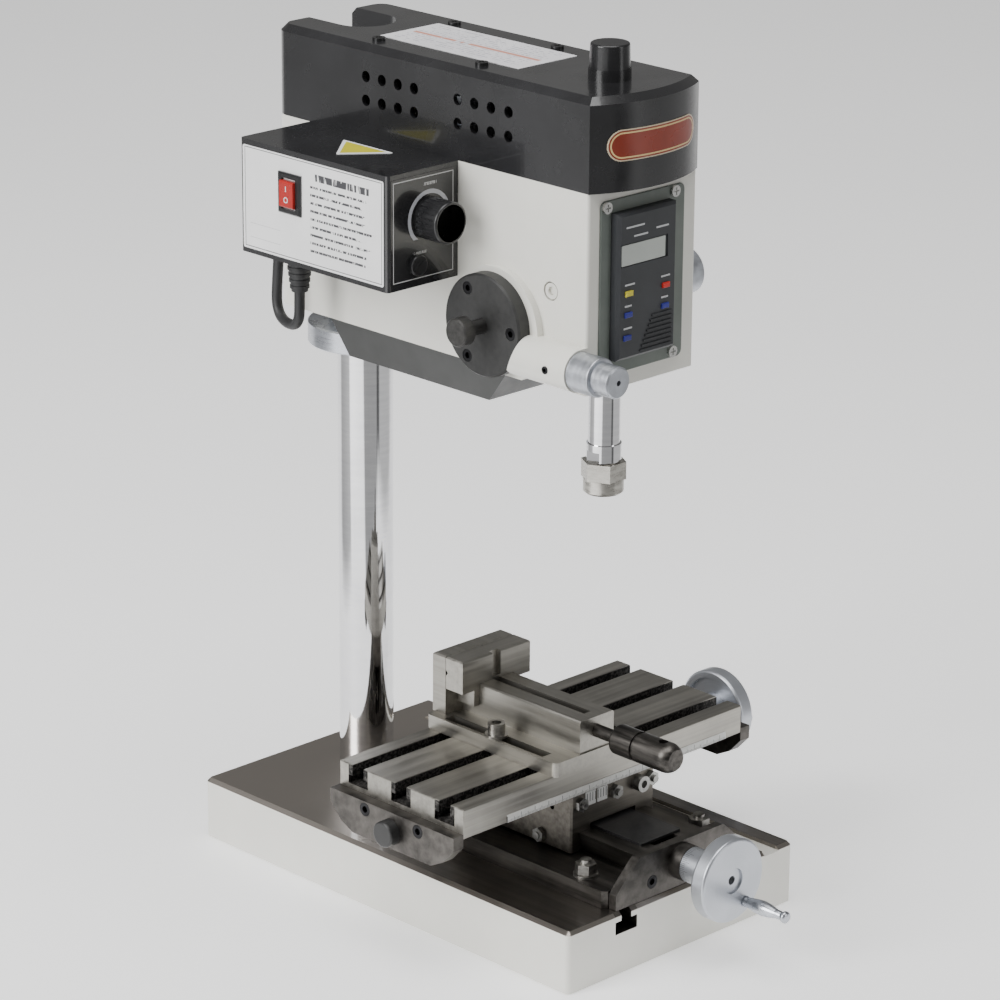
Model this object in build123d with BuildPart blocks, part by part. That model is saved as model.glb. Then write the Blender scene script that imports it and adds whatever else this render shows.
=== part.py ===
from build123d import *
import math
import os

# A small round-column benchtop milling machine, in millimetres.
# +X is the operator's right, +Y the back and +Z up; the origin is the centre of the base's underside.

os.makedirs("parts", exist_ok=True)

# ---------------------------------------------------------------- driving dimensions
# Base casting
base_width = 170.0
base_depth = 282.0
base_height = 34.5
base_wall = 9.0
base_deck = 17.0
base_chamfer = 2.0
base_slot_gap = 7.4
base_slot_lip = 5.0
base_tee_width = 16.0
base_tee_height = 7.0
base_slot_offset = 42.8
base_slot_end = 26.0
gutter_width = 11.0
gutter_depth = 2.5
gutter_inset = 11.5

# Round column and the throat from its axis to the spindle's
column_radius = 15.0
column_setback = 39.5
column_seat = 24.0
column_length = 384.5
throat = 180.0
column_fit = 0.05

# Depth collar that carries the head
collar_lift = 243.0
collar_radius = 31.0
collar_height = 12.2
hub_radius = 19.5
hub_height = 11.3

# Head casting and its cover
head_width = 78.0
head_height = 104.0
head_nose = 24.5
head_tail = 28.0
head_wall = 5.0
head_corner = 10.0
cover_height = 48.3
cover_bulge = 10.5
cover_wall = 2.5
cover_chamfer = 3.6
notch_clearance = 2.0
bay_front = 28.5
bay_back = 21.5

# Quill feed
quill_radius = 20.0
quill_length = 78.0
quill_travel = 38.0
quill_fit = 0.05
pinion_setback = 38.5
pinion_rise = 25.5
module = 1.0
pinion_teeth = 24
pinion_half = 4.8
shaft_radius = 5.0
shaft_fit = 0.05
worm_drop = 11.2
worm_offset = 5.0

# Spindle nose and collet
spindle_radius = 8.3
nose_reach = 48.0
collet_bore = 3.175
nut_height = 17.0

# Drive inside the cover
motor_radius = 26.0
motor_length = 115.0
motor_gap = 98.5
spindle_pulley_radius = 22.0
motor_pulley_radius = 12.5
pulley_height = 18.0
belt_thickness = 2.0
belt_gap = 0.3

# Control box on the left wall of the head
box_length = 111.7
box_depth = 48.8
box_height = 60.5
box_wall = 1.6
box_setback = 11.0

# Cross slide
way_half = 25.6
way_height = 11.5
way_lean = 4.1
flange_half = 52.0
flange_height = 10.0
way_front_inset = 7.0
way_length = 164.0
slide_fit = 0.08
slide_gap = 0.05
gib_thickness = 3.0
saddle_half = 31.2
saddle_depth = 90.0
saddle_height = 32.5
saddle_front = 89.2
saddle_gap = 1.0
table_way_half = 28.0
table_way_height = 8.5
table_way_lean = 3.4

# Table
table_length = 208.0
table_width = 93.0
table_height = 16.0
table_shift = -6.7
table_slot_pitch = 32.4
table_slot_gap = 8.4
table_slot_lip = 6.2
table_tee_width = 14.4
table_tee_height = 4.5
bracket_thickness = 7.0
bracket_drop = 17.6

# Feed screws and handwheels
screw_radius = 4.0
running_fit = 0.05
wheel_radius = 22.8
wheel_width = 8.3
dial_radius = 9.6
dial_length = 20.6
crank_side = 9.5
crank_drop = 14.2
handle_length = 29.5

# Vise
vise_shift = -16.5
vise_width = 50.0
vise_flange_half = 31.0
vise_flange_height = 8.0
vise_length = 97.0
rail_half = 12.5
rail_height = 18.0
jaw_height = 33.0
fixed_jaw = 9.7
moving_jaw_thickness = 12.7
vise_screw_rise = 18.0
vise_knob_radius = 8.1
vise_knob_length = 43.0

# Lead from the control box into the head
lead_radius = 2.85

# ---------------------------------------------------------------- places worked out from them
column_y = base_depth / 2 - column_setback
spindle_y = column_y - throat
collar_z = base_height + collar_lift
head_z = collar_z + collar_height + hub_height
head_top = head_z + head_height
cover_top = head_top + cover_height
head_half = head_width / 2
head_front = spindle_y - head_nose
head_back = column_y + head_tail
pinion_y = spindle_y + pinion_setback
pinion_z = head_z + pinion_rise
pitch_radius = module * pinion_teeth / 2
worm_x = -head_half - worm_offset
worm_z = pinion_z - worm_drop
motor_y = spindle_y + motor_gap
quill_z = head_z + 1.0
box_front = head_front + box_setback + 81.5
box_back = box_front + box_length
box_left = -head_half - box_depth
box_z = head_top - box_height
way_front = -base_depth / 2 + way_front_inset
flange_top = base_height + flange_height
way_top = flange_top + way_height
saddle_y = -saddle_front + saddle_depth / 2
saddle_z = flange_top + saddle_gap
saddle_top = saddle_z + saddle_height
table_z = saddle_top + slide_gap
table_top = table_z + table_height
y_screw_z = base_height + 14.0
x_screw_z = saddle_top - 8.0
vise_top = table_top + vise_flange_height
vise_back = saddle_y + table_width / 2 + 1.2
vise_front = vise_back - vise_length
jaw_line = vise_back - fixed_jaw + 1.2
vise_screw_z = table_top + vise_screw_rise

FORWARD = (0, -1, 0)
BACKWARD = (0, 1, 0)
RIGHT = (1, 0, 0)
LEFT = (-1, 0, 0)
UP = (0, 0, 1)
DOWN = (0, 0, -1)
FROM_END = (Align.CENTER, Align.CENTER, Align.MIN)


# ---------------------------------------------------------------- shared shapes
def block(x, y, z, mode=Mode.ADD):
    """A box in the current part, between two x, two y and two z."""
    with Locations(((x[0] + x[1]) / 2, (y[0] + y[1]) / 2, (z[0] + z[1]) / 2)):
        Box(x[1] - x[0], y[1] - y[0], z[1] - z[0], mode=mode)


def rod(start, direction, radius, length, mode=Mode.ADD):
    """A cylinder in the current part, from a point along a direction."""
    with Locations(Plane(origin=start, z_dir=direction)):
        Cylinder(radius, length, align=FROM_END, mode=mode)


def cone(start, direction, radius, end_radius, length, mode=Mode.ADD):
    """A tapered cylinder in the current part, from a point along a direction."""
    with Locations(Plane(origin=start, z_dir=direction)):
        Cone(radius, end_radius, length, align=FROM_END, mode=mode)


def hexagon(start, direction, across_flats, length, mode=Mode.ADD):
    """A hexagonal prism in the current part, made of three crossed blocks."""
    side = across_flats / math.sqrt(3)
    plane = Plane(origin=start, z_dir=direction)
    if mode == Mode.SUBTRACT:
        with Locations(plane):
            Cylinder(across_flats / 2, length, align=FROM_END, mode=mode)
        return
    for turn in (0, 60, 120):
        with Locations(plane * Location((0, 0, 0), (0, 0, turn))):
            Box(side, across_flats, length, align=FROM_END, mode=mode)


def cap_screw(start, direction, radius, length, head_radius, head_length):
    """A socket cap screw in the current part, its head's underside at the start."""
    back = tuple(-value for value in direction)
    rod(start, direction, radius, length)
    rod(start, back, head_radius, head_length)
    top = tuple(s + b * head_length for s, b in zip(start, back))
    rod(top, direction, head_radius * 0.52, head_length * 0.6, Mode.SUBTRACT)


def save(piece, name):
    """Labels a finished piece and writes its file."""
    piece.part.label = name
    export_step(piece.part, f"parts/{name}.step")


# ---------------------------------------------------------------- base and column
def tee_slot(x, y, z_top, gap, lip, tee_width, tee_height, along):
    """Cuts a T-slot down from a top face, running along X or along Y."""
    if along == "Y":
        block((x - gap / 2, x + gap / 2), y, (z_top - lip - 0.01, z_top + 1), Mode.SUBTRACT)
        block((x - tee_width / 2, x + tee_width / 2), y, (z_top - lip - tee_height, z_top - lip), Mode.SUBTRACT)
    else:
        block(x, (y - gap / 2, y + gap / 2), (z_top - lip - 0.01, z_top + 1), Mode.SUBTRACT)
        block(x, (y - tee_width / 2, y + tee_width / 2), (z_top - lip - tee_height, z_top - lip), Mode.SUBTRACT)


half_width = base_width / 2
half_depth = base_depth / 2
socket_radius = column_radius + 8

with BuildPart() as base_casting:
    with BuildSketch(Plane.XY) as base_plan:
        RectangleRounded(base_width, base_depth, 3)
    extrude(amount=base_height)
    chamfer(base_casting.faces().sort_by(Axis.Z)[-1].edges(), base_chamfer)
    block(
        (-half_width + base_wall, half_width - base_wall),
        (-half_depth + base_wall, half_depth - base_wall),
        (0, base_height - base_deck),
        Mode.SUBTRACT,
    )
    rod((0, column_y, 0), UP, socket_radius, base_height - base_deck + 1)
    rod((0, column_y, base_height - column_seat), UP, column_radius + column_fit, column_seat + 1, Mode.SUBTRACT)
    for side in (-1, 1):
        tee_slot(
            side * base_slot_offset,
            (-half_depth - 1, base_slot_end),
            base_height,
            base_slot_gap,
            base_slot_lip,
            base_tee_width,
            base_tee_height,
            "Y",
        )
    block(
        (half_width - gutter_inset - gutter_width, half_width - gutter_inset),
        (-half_depth - 1, half_depth - 20),
        (base_height - gutter_depth, base_height + 1),
        Mode.SUBTRACT,
    )
save(base_casting, "base_casting")

with BuildPart() as column:
    with BuildSketch(Plane.XY.offset(base_height - column_seat)):
        with Locations((0, column_y)):
            Circle(column_radius)
    extrude(amount=column_length)
    chamfer(column.faces().sort_by(Axis.Z)[-1].edges(), 1.2)
save(column, "column")

# ---------------------------------------------------------------- cross-slide ways on the base
way_back = way_front + way_length
channel_half = 9.0
bolt_spots = [(side * base_slot_offset, y) for side in (-1, 1) for y in (way_front + 22.6, way_back - 14)]

with BuildPart() as cross_slide_base:
    block((-flange_half, flange_half), (way_front, way_back), (base_height, flange_top))
    with BuildSketch(Plane.XZ.offset(-way_front)):
        with BuildLine():
            Polyline(
                (-way_half + way_lean, flange_top - 1),
                (-way_half, way_top),
                (way_half, way_top),
                (way_half - way_lean, flange_top - 1),
                close=True,
            )
        make_face()
    extrude(amount=-way_length)
    block((-channel_half, channel_half), (way_front + 6, way_back + 1), (y_screw_z - 6, way_top + 1), Mode.SUBTRACT)
    rod((0, way_front - 1, y_screw_z), BACKWARD, screw_radius + running_fit, 8, Mode.SUBTRACT)
    for x, y in bolt_spots:
        rod((x, y, base_height - 1), UP, 3.3, flange_height + 2, Mode.SUBTRACT)
    for side in (-1, 1):
        rod((side * 21.9, way_front - 1, base_height + 8.5), BACKWARD, 2.0, 12, Mode.SUBTRACT)
    chamfer(cross_slide_base.edges().filter_by(Axis.Z).sort_by(Axis.Y)[:2], 2.5)
save(cross_slide_base, "cross_slide_base")

with BuildPart() as base_bolts:
    tee_z = base_height - base_slot_lip - base_tee_height + 0.4
    for x, y in bolt_spots:
        block((x - 7, x + 7), (y - 7, y + 7), (tee_z, tee_z + 6.3))
        rod((x, y, tee_z), UP, 3.0, flange_top - tee_z + 9)
        rod((x, y, flange_top), UP, 6.6, 1.4)
        hexagon((x, y, flange_top + 1.3), UP, 10.0, 5.6)
save(base_bolts, "base_bolts")

bracket_face = way_front - 5.0
index_ring = 7.4

with BuildPart() as front_bracket:
    with BuildSketch(Plane.XZ.offset(-way_front)) as bracket_shape:
        with BuildLine():
            Polyline(
                (-48.8, base_height + 0.2),
                (-48.8, base_height + 8.5),
                (-40.7, base_height + 16.9),
                (-31.8, base_height + 25),
                (31.8, base_height + 25),
                (40.7, base_height + 16.9),
                (48.8, base_height + 8.5),
                (48.8, base_height + 0.2),
                close=True,
            )
        make_face()
        fillet(bracket_shape.vertices().group_by(Axis.Y)[-1], 3)
    extrude(amount=5.0)
    rod((0, bracket_face, y_screw_z), FORWARD, dial_radius + 0.2, index_ring)
    rod((0, bracket_face - index_ring - 1, y_screw_z), BACKWARD, screw_radius + running_fit, 20, Mode.SUBTRACT)
    for side in (-1, 1):
        rod((side * 21.9, bracket_face - 1, base_height + 8.5), BACKWARD, 2.2, 10, Mode.SUBTRACT)
        rod((side * 21.9, bracket_face - 1, base_height + 8.5), BACKWARD, 3.7, 4.2, Mode.SUBTRACT)
save(front_bracket, "front_bracket")

with BuildPart() as front_bracket_screws:
    for side in (-1, 1):
        cap_screw((side * 21.9, bracket_face + 3.2, base_height + 8.5), BACKWARD, 1.95, 11, 3.5, 3.2)
save(front_bracket_screws, "front_bracket_screws")

with BuildPart() as way_cover:
    block((-15, 15), (way_front + 9.5, way_front + 54), (way_top, way_top + 1.4))
    fillet(way_cover.edges().filter_by(Axis.Z), 1.5)
save(way_cover, "way_cover")


# ---------------------------------------------------------------- feed screws, handwheels and handles
def handwheel(face, direction, crank):
    """A handwheel with its graduated dial, from its bracket side outward, with a hole for the crank."""
    back = tuple(-value for value in direction)
    rim = tuple(f + d * (dial_length - 1) for f, d in zip(face, direction))
    front = tuple(f + d * (dial_length + wheel_width) for f, d in zip(face, direction))
    hole = tuple(f + c + d for f, c, d in zip(front, crank, direction))
    with BuildPart() as wheel:
        rod(rim, direction, wheel_radius, wheel_width + 1)
        fillet(wheel.edges(), 1.5)
        rod(rim, direction, wheel_radius - 4, 2.5, Mode.SUBTRACT)
        rod(face, direction, dial_radius, dial_length + 4)
        rod(front, back, 7.0, 1.2, Mode.SUBTRACT)
        rod(face, direction, screw_radius + 0.02, dial_length + wheel_width - 5, Mode.SUBTRACT)
        rod(face, direction, 2.4, dial_length + wheel_width + 1, Mode.SUBTRACT)
        rod(hole, back, 2.05, 7.4, Mode.SUBTRACT)
    return wheel


def crank_handle(root, direction):
    """A turned crank handle made of stacked cones, with a stud that sits in the wheel."""
    sections = [(2.6, 3.3, 4.0), (3.3, 4.0, 7.5), (4.0, 3.6, 7.5), (3.6, 2.4, 3.5)]
    back = tuple(-value for value in direction)
    place = tuple(r + d * 0.3 for r, d in zip(root, direction))
    with BuildPart() as handle:
        rod(place, back, 2.0, 6.0)
        for low, high, length in sections:
            cone(place, direction, low, high, length)
            place = tuple(p + d * length for p, d in zip(place, direction))
        rod(place, direction, 2.4, handle_length - 25.0)
        place = tuple(p + d * (handle_length - 25.0) for p, d in zip(place, direction))
        rod(place, direction, 3.2, 2.2)
    return handle


y_wheel_start = bracket_face - index_ring - 0.2
y_wheel_face = y_wheel_start - dial_length - wheel_width
y_crank = (crank_side, 0, -crank_drop)
y_handwheel = handwheel((0, y_wheel_start, y_screw_z), FORWARD, y_crank)
save(y_handwheel, "y_handwheel")

with BuildPart() as y_screw:
    rod((0, y_wheel_face + 5.5, y_screw_z), BACKWARD, screw_radius, way_back - y_wheel_face - 20)
    rod((0, way_front + 6.3, y_screw_z), BACKWARD, screw_radius + 1.5, 3)
save(y_screw, "y_screw")

y_handle = crank_handle((crank_side, y_wheel_face, y_screw_z - crank_drop), FORWARD)
save(y_handle, "y_handle")

# ---------------------------------------------------------------- saddle
saddle_back = saddle_y + saddle_depth / 2
saddle_edge = saddle_y - saddle_depth / 2
bed_z = saddle_top - table_way_height - slide_gap
table_lean_slope = table_way_lean / table_way_height
way_slope = way_lean / (way_height + 1)
x_gib_screws = [-25.0, 1.0, 28.0]
y_gib_screws = [-67.0, -22.0]
x_gib_z = saddle_top - 6.0
y_gib_z = saddle_z + 4.6


def way_edge(z, extra):
    """Half width of the lower dovetail at a height, with a clearance added."""
    return way_half - (way_top - z) * way_slope + extra


def table_edge(z, extra):
    """Half width of the table's dovetail at a height, with a clearance added."""
    return table_way_half - (z - bed_z) * table_lean_slope + extra


low_z = saddle_z - 1
roof_z = way_top + slide_gap
gib_room = gib_thickness + 2 * slide_fit
high_z = saddle_top + 1

with BuildPart() as saddle:
    block((-saddle_half, saddle_half), (saddle_edge, saddle_back), (saddle_z, saddle_top))
    chamfer(saddle.edges().filter_by(Axis.Z), 1.0)
    with BuildSketch(Plane.XZ.offset(-saddle_edge + 1)):
        with BuildLine():
            Polyline(
                (-way_edge(low_z, gib_room), low_z),
                (-way_edge(roof_z, gib_room), roof_z),
                (way_edge(roof_z, slide_fit), roof_z),
                (way_edge(low_z, slide_fit), low_z),
                close=True,
            )
        make_face()
    extrude(amount=-(saddle_depth + 2), mode=Mode.SUBTRACT)
    block((-17, 17), (saddle_edge - 1, saddle_back + 1), (roof_z - 1, way_top + 3), Mode.SUBTRACT)
    with BuildSketch(Plane.YZ.offset(-saddle_half - 1)):
        with BuildLine():
            Polyline(
                (saddle_y - table_edge(bed_z, gib_room), bed_z),
                (saddle_y - table_edge(high_z, gib_room), high_z),
                (saddle_y + table_edge(high_z, slide_fit), high_z),
                (saddle_y + table_edge(bed_z, slide_fit), bed_z),
                close=True,
            )
        make_face()
    extrude(amount=2 * saddle_half + 2, mode=Mode.SUBTRACT)
    block(
        (-saddle_half - 1, saddle_half + 1),
        (saddle_y - 5, saddle_y + 5),
        (x_screw_z - 5, bed_z + 1),
        Mode.SUBTRACT,
    )
    for x in x_gib_screws:
        rod((x, saddle_edge - 1, x_gib_z), BACKWARD, 2.0, 30, Mode.SUBTRACT)
    rod((18.5, saddle_edge - 1, x_gib_z), BACKWARD, 2.5, 30, Mode.SUBTRACT)
    for y in y_gib_screws:
        rod((-saddle_half - 1, y, y_gib_z), RIGHT, 2.0, 12, Mode.SUBTRACT)
    rod((-saddle_half - 1, -75, saddle_top - 10), RIGHT, 1.6, 6, Mode.SUBTRACT)
save(saddle, "saddle")

x_gib_bottom = bed_z + 0.1
x_gib_top = saddle_top - 0.2
y_gib_bottom = saddle_z + 0.2
y_gib_top = way_top - 0.3

with BuildPart() as gib_strips:
    with BuildSketch(Plane.YZ.offset(-saddle_half + 0.5)):
        with BuildLine():
            Polyline(
                (saddle_y - table_edge(x_gib_bottom, slide_fit), x_gib_bottom),
                (saddle_y - table_edge(x_gib_top, slide_fit), x_gib_top),
                (saddle_y - table_edge(x_gib_top, gib_thickness + slide_fit), x_gib_top),
                (saddle_y - table_edge(x_gib_bottom, gib_thickness + slide_fit), x_gib_bottom),
                close=True,
            )
        make_face()
    extrude(amount=2 * saddle_half - 1)
    with BuildSketch(Plane.XZ.offset(-saddle_edge - 0.5)):
        with BuildLine():
            Polyline(
                (-way_edge(y_gib_bottom, slide_fit), y_gib_bottom),
                (-way_edge(y_gib_top, slide_fit), y_gib_top),
                (-way_edge(y_gib_top, gib_thickness + slide_fit), y_gib_top),
                (-way_edge(y_gib_bottom, gib_thickness + slide_fit), y_gib_bottom),
                close=True,
            )
        make_face()
    extrude(amount=-(saddle_depth - 1))
save(gib_strips, "gib_strips")

x_gib_face = saddle_y - table_edge(x_gib_z, gib_thickness + slide_fit + 0.35)
y_gib_face = -way_edge(y_gib_z, gib_thickness + slide_fit + 0.35)

with BuildPart() as gib_screws:
    for x in x_gib_screws:
        rod((x, x_gib_face - 0.8, x_gib_z), FORWARD, 1.95, x_gib_face - 0.8 - saddle_edge + 4.5)
        hexagon((x, saddle_edge, x_gib_z), FORWARD, 7.0, 2.8)
    rod((18.5, x_gib_face - 0.8, x_gib_z), FORWARD, 2.45, x_gib_face - 0.8 - saddle_edge + 1)
    rod((18.5, saddle_edge, x_gib_z), FORWARD, 4.4, 5.0)
    rod((18.5, saddle_edge - 6, x_gib_z), BACKWARD, 2.1, 3.5, Mode.SUBTRACT)
    for y in y_gib_screws:
        rod((y_gib_face - 0.8, y, y_gib_z), LEFT, 1.95, y_gib_face - 0.8 + saddle_half + 4.0)
        hexagon((-saddle_half, y, y_gib_z), LEFT, 7.0, 2.8)
save(gib_screws, "gib_screws")

with BuildPart() as feed_nuts:
    block((-7, 7), (saddle_y - 10, saddle_y + 10), (y_screw_z - 5.4, way_top + 3))
    rod((0, saddle_y - 11, y_screw_z), BACKWARD, screw_radius + running_fit, 22, Mode.SUBTRACT)
    block((-9, 9), (saddle_y - 4.9, saddle_y + 4.9), (x_screw_z - 5, x_screw_z + 5.3))
    rod((-10, saddle_y, x_screw_z), RIGHT, screw_radius + running_fit, 20, Mode.SUBTRACT)
save(feed_nuts, "feed_nuts")

# ---------------------------------------------------------------- table
table_left = table_shift - table_length / 2
table_right = table_shift + table_length / 2
table_front = saddle_y - table_width / 2
table_back = saddle_y + table_width / 2
tongue_z = bed_z + slide_gap
bracket_screw_y = 19.8
bracket_screw_z = saddle_top - 1.8

with BuildPart() as table:
    block((table_left, table_right), (table_front, table_back), (table_z, table_top))
    chamfer(table.edges(), 0.5)
    with BuildSketch(Plane.YZ.offset(table_left)):
        with BuildLine():
            Polyline(
                (saddle_y - table_edge(tongue_z, 0), tongue_z),
                (saddle_y - table_edge(table_z + 2, 0), table_z + 2),
                (saddle_y + table_edge(table_z + 2, 0), table_z + 2),
                (saddle_y + table_edge(tongue_z, 0), tongue_z),
                close=True,
            )
        make_face()
    extrude(amount=table_length)
    block(
        (table_left - 1, table_right + 1),
        (saddle_y - 7, saddle_y + 7),
        (tongue_z - 1, x_screw_z + 6),
        Mode.SUBTRACT,
    )
    for step in (-1, 0, 1):
        tee_slot(
            (table_left - 1, table_right + 1),
            saddle_y + step * table_slot_pitch,
            table_top,
            table_slot_gap,
            table_slot_lip,
            table_tee_width,
            table_tee_height,
            "X",
        )
    for side in (-1, 1):
        for start, direction in ((table_left - 1, RIGHT), (table_right + 1, LEFT)):
            rod((start, saddle_y + side * bracket_screw_y, bracket_screw_z), direction, 2.0, 13, Mode.SUBTRACT)
save(table, "table")

bracket_low = saddle_top - bracket_drop
bracket_high = saddle_top + 2.6

with BuildPart() as table_end_brackets:
    for start in (table_left - bracket_thickness, table_right):
        with BuildSketch(Plane.YZ.offset(start)):
            with BuildLine():
                Polyline(
                    (saddle_y - 46.3, bracket_high),
                    (saddle_y - 46.3, saddle_top - 4.7),
                    (saddle_y - 38.5, bracket_low + 4.6),
                    (saddle_y - 29.5, bracket_low),
                    (saddle_y + 29.5, bracket_low),
                    (saddle_y + 38.5, bracket_low + 4.6),
                    (saddle_y + 46.3, saddle_top - 4.7),
                    (saddle_y + 46.3, bracket_high),
                    close=True,
                )
            make_face()
        extrude(amount=bracket_thickness)
    rod((table_left - 20, saddle_y, x_screw_z), RIGHT, screw_radius + running_fit, 300, Mode.SUBTRACT)
    for side in (-1, 1):
        y = saddle_y + side * bracket_screw_y
        rod((table_left - 20, y, bracket_screw_z), RIGHT, 2.2, 300, Mode.SUBTRACT)
        rod((table_left - bracket_thickness - 1, y, bracket_screw_z), RIGHT, 3.7, 4.5, Mode.SUBTRACT)
        rod((table_right + bracket_thickness + 1, y, bracket_screw_z), LEFT, 3.7, 4.5, Mode.SUBTRACT)
save(table_end_brackets, "table_end_brackets")

with BuildPart() as bracket_screws:
    for side in (-1, 1):
        y = saddle_y + side * bracket_screw_y
        cap_screw((table_left - bracket_thickness + 3.5, y, bracket_screw_z), RIGHT, 1.95, 14, 3.5, 3.5)
        cap_screw((table_right + bracket_thickness - 3.5, y, bracket_screw_z), LEFT, 1.95, 14, 3.5, 3.5)
save(bracket_screws, "bracket_screws")

with BuildPart() as screw_end_cap:
    rod((table_left - bracket_thickness, saddle_y, x_screw_z), LEFT, 7.0, 6.5)
    fillet(screw_end_cap.edges().group_by(Axis.X)[0], 1.2)
    rod((table_left - bracket_thickness + 1, saddle_y, x_screw_z), LEFT, 5.2, 5.5, Mode.SUBTRACT)
save(screw_end_cap, "screw_end_cap")

x_wheel_start = table_right + bracket_thickness + 0.3
x_wheel_face = x_wheel_start + dial_length + wheel_width
x_crank = (0, 6.0, -15.9)
x_handwheel = handwheel((x_wheel_start, saddle_y, x_screw_z), RIGHT, x_crank)
save(x_handwheel, "x_handwheel")

x_screw_end = table_left - bracket_thickness - 3
with BuildPart() as x_screw:
    rod((x_screw_end, saddle_y, x_screw_z), RIGHT, screw_radius, x_wheel_face - 5.5 - x_screw_end)
save(x_screw, "x_screw")

x_handle = crank_handle((x_wheel_face, saddle_y + x_crank[1], x_screw_z + x_crank[2]), RIGHT)
save(x_handle, "x_handle")

# ---------------------------------------------------------------- vise
rail_top = vise_top + rail_height
rail_front = vise_front + 1.0
jaw_top = vise_top + jaw_height
clamp_offset = 25.5
jaw_half = vise_width / 2
keyway_half = 2.5
tunnel_radius = 4.4

with BuildPart() as vise_body:
    block(
        (vise_shift - vise_flange_half, vise_shift + vise_flange_half),
        (vise_front, vise_back),
        (table_top, vise_top),
    )
    fillet(vise_body.edges().filter_by(Axis.Z), 3.0)
    for side in (-1, 1):
        block(
            (vise_shift + side * clamp_offset - 3.4, vise_shift + side * clamp_offset + 3.4),
            (vise_front + 12, vise_back - 12),
            (table_top - 1, vise_top + 1),
            Mode.SUBTRACT,
        )
    block((vise_shift - rail_half, vise_shift + rail_half), (rail_front, jaw_line + 1), (vise_top - 1, rail_top))
    chamfer(vise_body.edges().filter_by(Axis.Y).group_by(Axis.Z)[-1], 0.8)
    block((vise_shift - jaw_half, vise_shift + jaw_half), (jaw_line, vise_back + 1.2), (vise_top, jaw_top))
    chamfer(vise_body.edges().group_by(Axis.Z)[-1], 0.8)
    rod((vise_shift, rail_front - 1, vise_screw_z), BACKWARD, 3.5 + running_fit, 20, Mode.SUBTRACT)
    rod((vise_shift, rail_front + 7, vise_screw_z), BACKWARD, tunnel_radius, jaw_line - rail_front - 7, Mode.SUBTRACT)
    block(
        (vise_shift - keyway_half, vise_shift + keyway_half),
        (rail_front + 7, jaw_line),
        (vise_screw_z, rail_top + 1),
        Mode.SUBTRACT,
    )
save(vise_body, "vise_body")

tee_floor = table_top - table_slot_lip - table_tee_height
with BuildPart() as vise_bolts:
    for side in (-1, 1):
        x = vise_shift + side * clamp_offset
        rod((x, saddle_y, tee_floor + 0.3), UP, 3.0, vise_top - tee_floor + 0.5)
        block((x - 6.5, x + 6.5), (saddle_y - 6.5, saddle_y + 6.5), (tee_floor + 0.2, tee_floor + 4.5))
        rod((x, saddle_y, vise_top), UP, 6.2, 1.3)
        rod((x, saddle_y, vise_top + 1.2), UP, 4.65, 6.2)
        rod((x, saddle_y, vise_top + 8), DOWN, 2.6, 4.0, Mode.SUBTRACT)
save(vise_bolts, "vise_bolts")

jaw_gap = 0.3
jaw_back = jaw_line - jaw_gap
jaw_front = jaw_back - moving_jaw_thickness
skirt_half = rail_half + 4.0

with BuildPart() as moving_jaw:
    block((vise_shift - jaw_half, vise_shift + jaw_half), (jaw_front, jaw_back), (rail_top - 3, jaw_top))
    block((vise_shift - skirt_half, vise_shift + skirt_half), (jaw_front, jaw_back), (vise_top + 6, rail_top - 2))
    chamfer(moving_jaw.edges().group_by(Axis.Z)[-1], 0.8)
    block(
        (vise_shift - rail_half - slide_fit, vise_shift + rail_half + slide_fit),
        (jaw_front - 1, jaw_back + 1),
        (vise_top, rail_top + slide_gap),
        Mode.SUBTRACT,
    )
    block(
        (vise_shift - keyway_half + 0.1, vise_shift + keyway_half - 0.1),
        (jaw_front, jaw_back - 0.5),
        (vise_screw_z - 3.4, rail_top + 1),
    )
    block(
        (vise_shift - 3, vise_shift + 3),
        (jaw_front - 1, jaw_front + 3),
        (rail_top + 1.5, jaw_top + 1),
        Mode.SUBTRACT,
    )
    with Locations((vise_shift, jaw_back, rail_top + 6)):
        Box(vise_width + 2, 2.2, 2.2, rotation=(45, 0, 0), mode=Mode.SUBTRACT)
    with Locations((vise_shift, jaw_back, (rail_top + jaw_top) / 2)):
        Box(2.8, 2.8, 24, rotation=(0, 0, 45), mode=Mode.SUBTRACT)
save(moving_jaw, "moving_jaw")

knob_back = rail_front - 15.5
knob_front = knob_back - vise_knob_length

with BuildPart() as vise_screw:
    rod((vise_shift, knob_front + vise_knob_radius, vise_screw_z), BACKWARD, vise_knob_radius, vise_knob_length - 8.1)
    fillet(vise_screw.edges().group_by(Axis.Y)[-1], 1.5)
    with Locations((vise_shift, knob_front + vise_knob_radius, vise_screw_z)):
        Sphere(vise_knob_radius)
    rod((vise_shift, knob_back, vise_screw_z), BACKWARD, 3.5, jaw_front - knob_back)
    block((-30, 0), (knob_front - 1, knob_front + 2.2), (vise_screw_z - 10, vise_screw_z + 10), Mode.SUBTRACT)
    rod((vise_shift, knob_front + 11, vise_screw_z - 10), UP, 2.5, 20, Mode.SUBTRACT)
    with BuildSketch(Plane.XZ.offset(-(knob_back - 15))):
        with Locations((vise_shift, vise_screw_z)):
            Circle(vise_knob_radius + 1)
            Circle(vise_knob_radius - 0.9, mode=Mode.SUBTRACT)
    extrude(amount=2.0, mode=Mode.SUBTRACT)
save(vise_screw, "vise_screw")

# ---------------------------------------------------------------- depth collar
with BuildPart() as depth_collar:
    rod((0, column_y, collar_z), UP, collar_radius, collar_height)
    chamfer(depth_collar.edges(), 0.8)
    rod((0, column_y, collar_z), UP, hub_radius, collar_height + hub_height - 0.3)
    rod((0, column_y, collar_z - 1), UP, column_radius + column_fit, 40, Mode.SUBTRACT)
save(depth_collar, "depth_collar")

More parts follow.
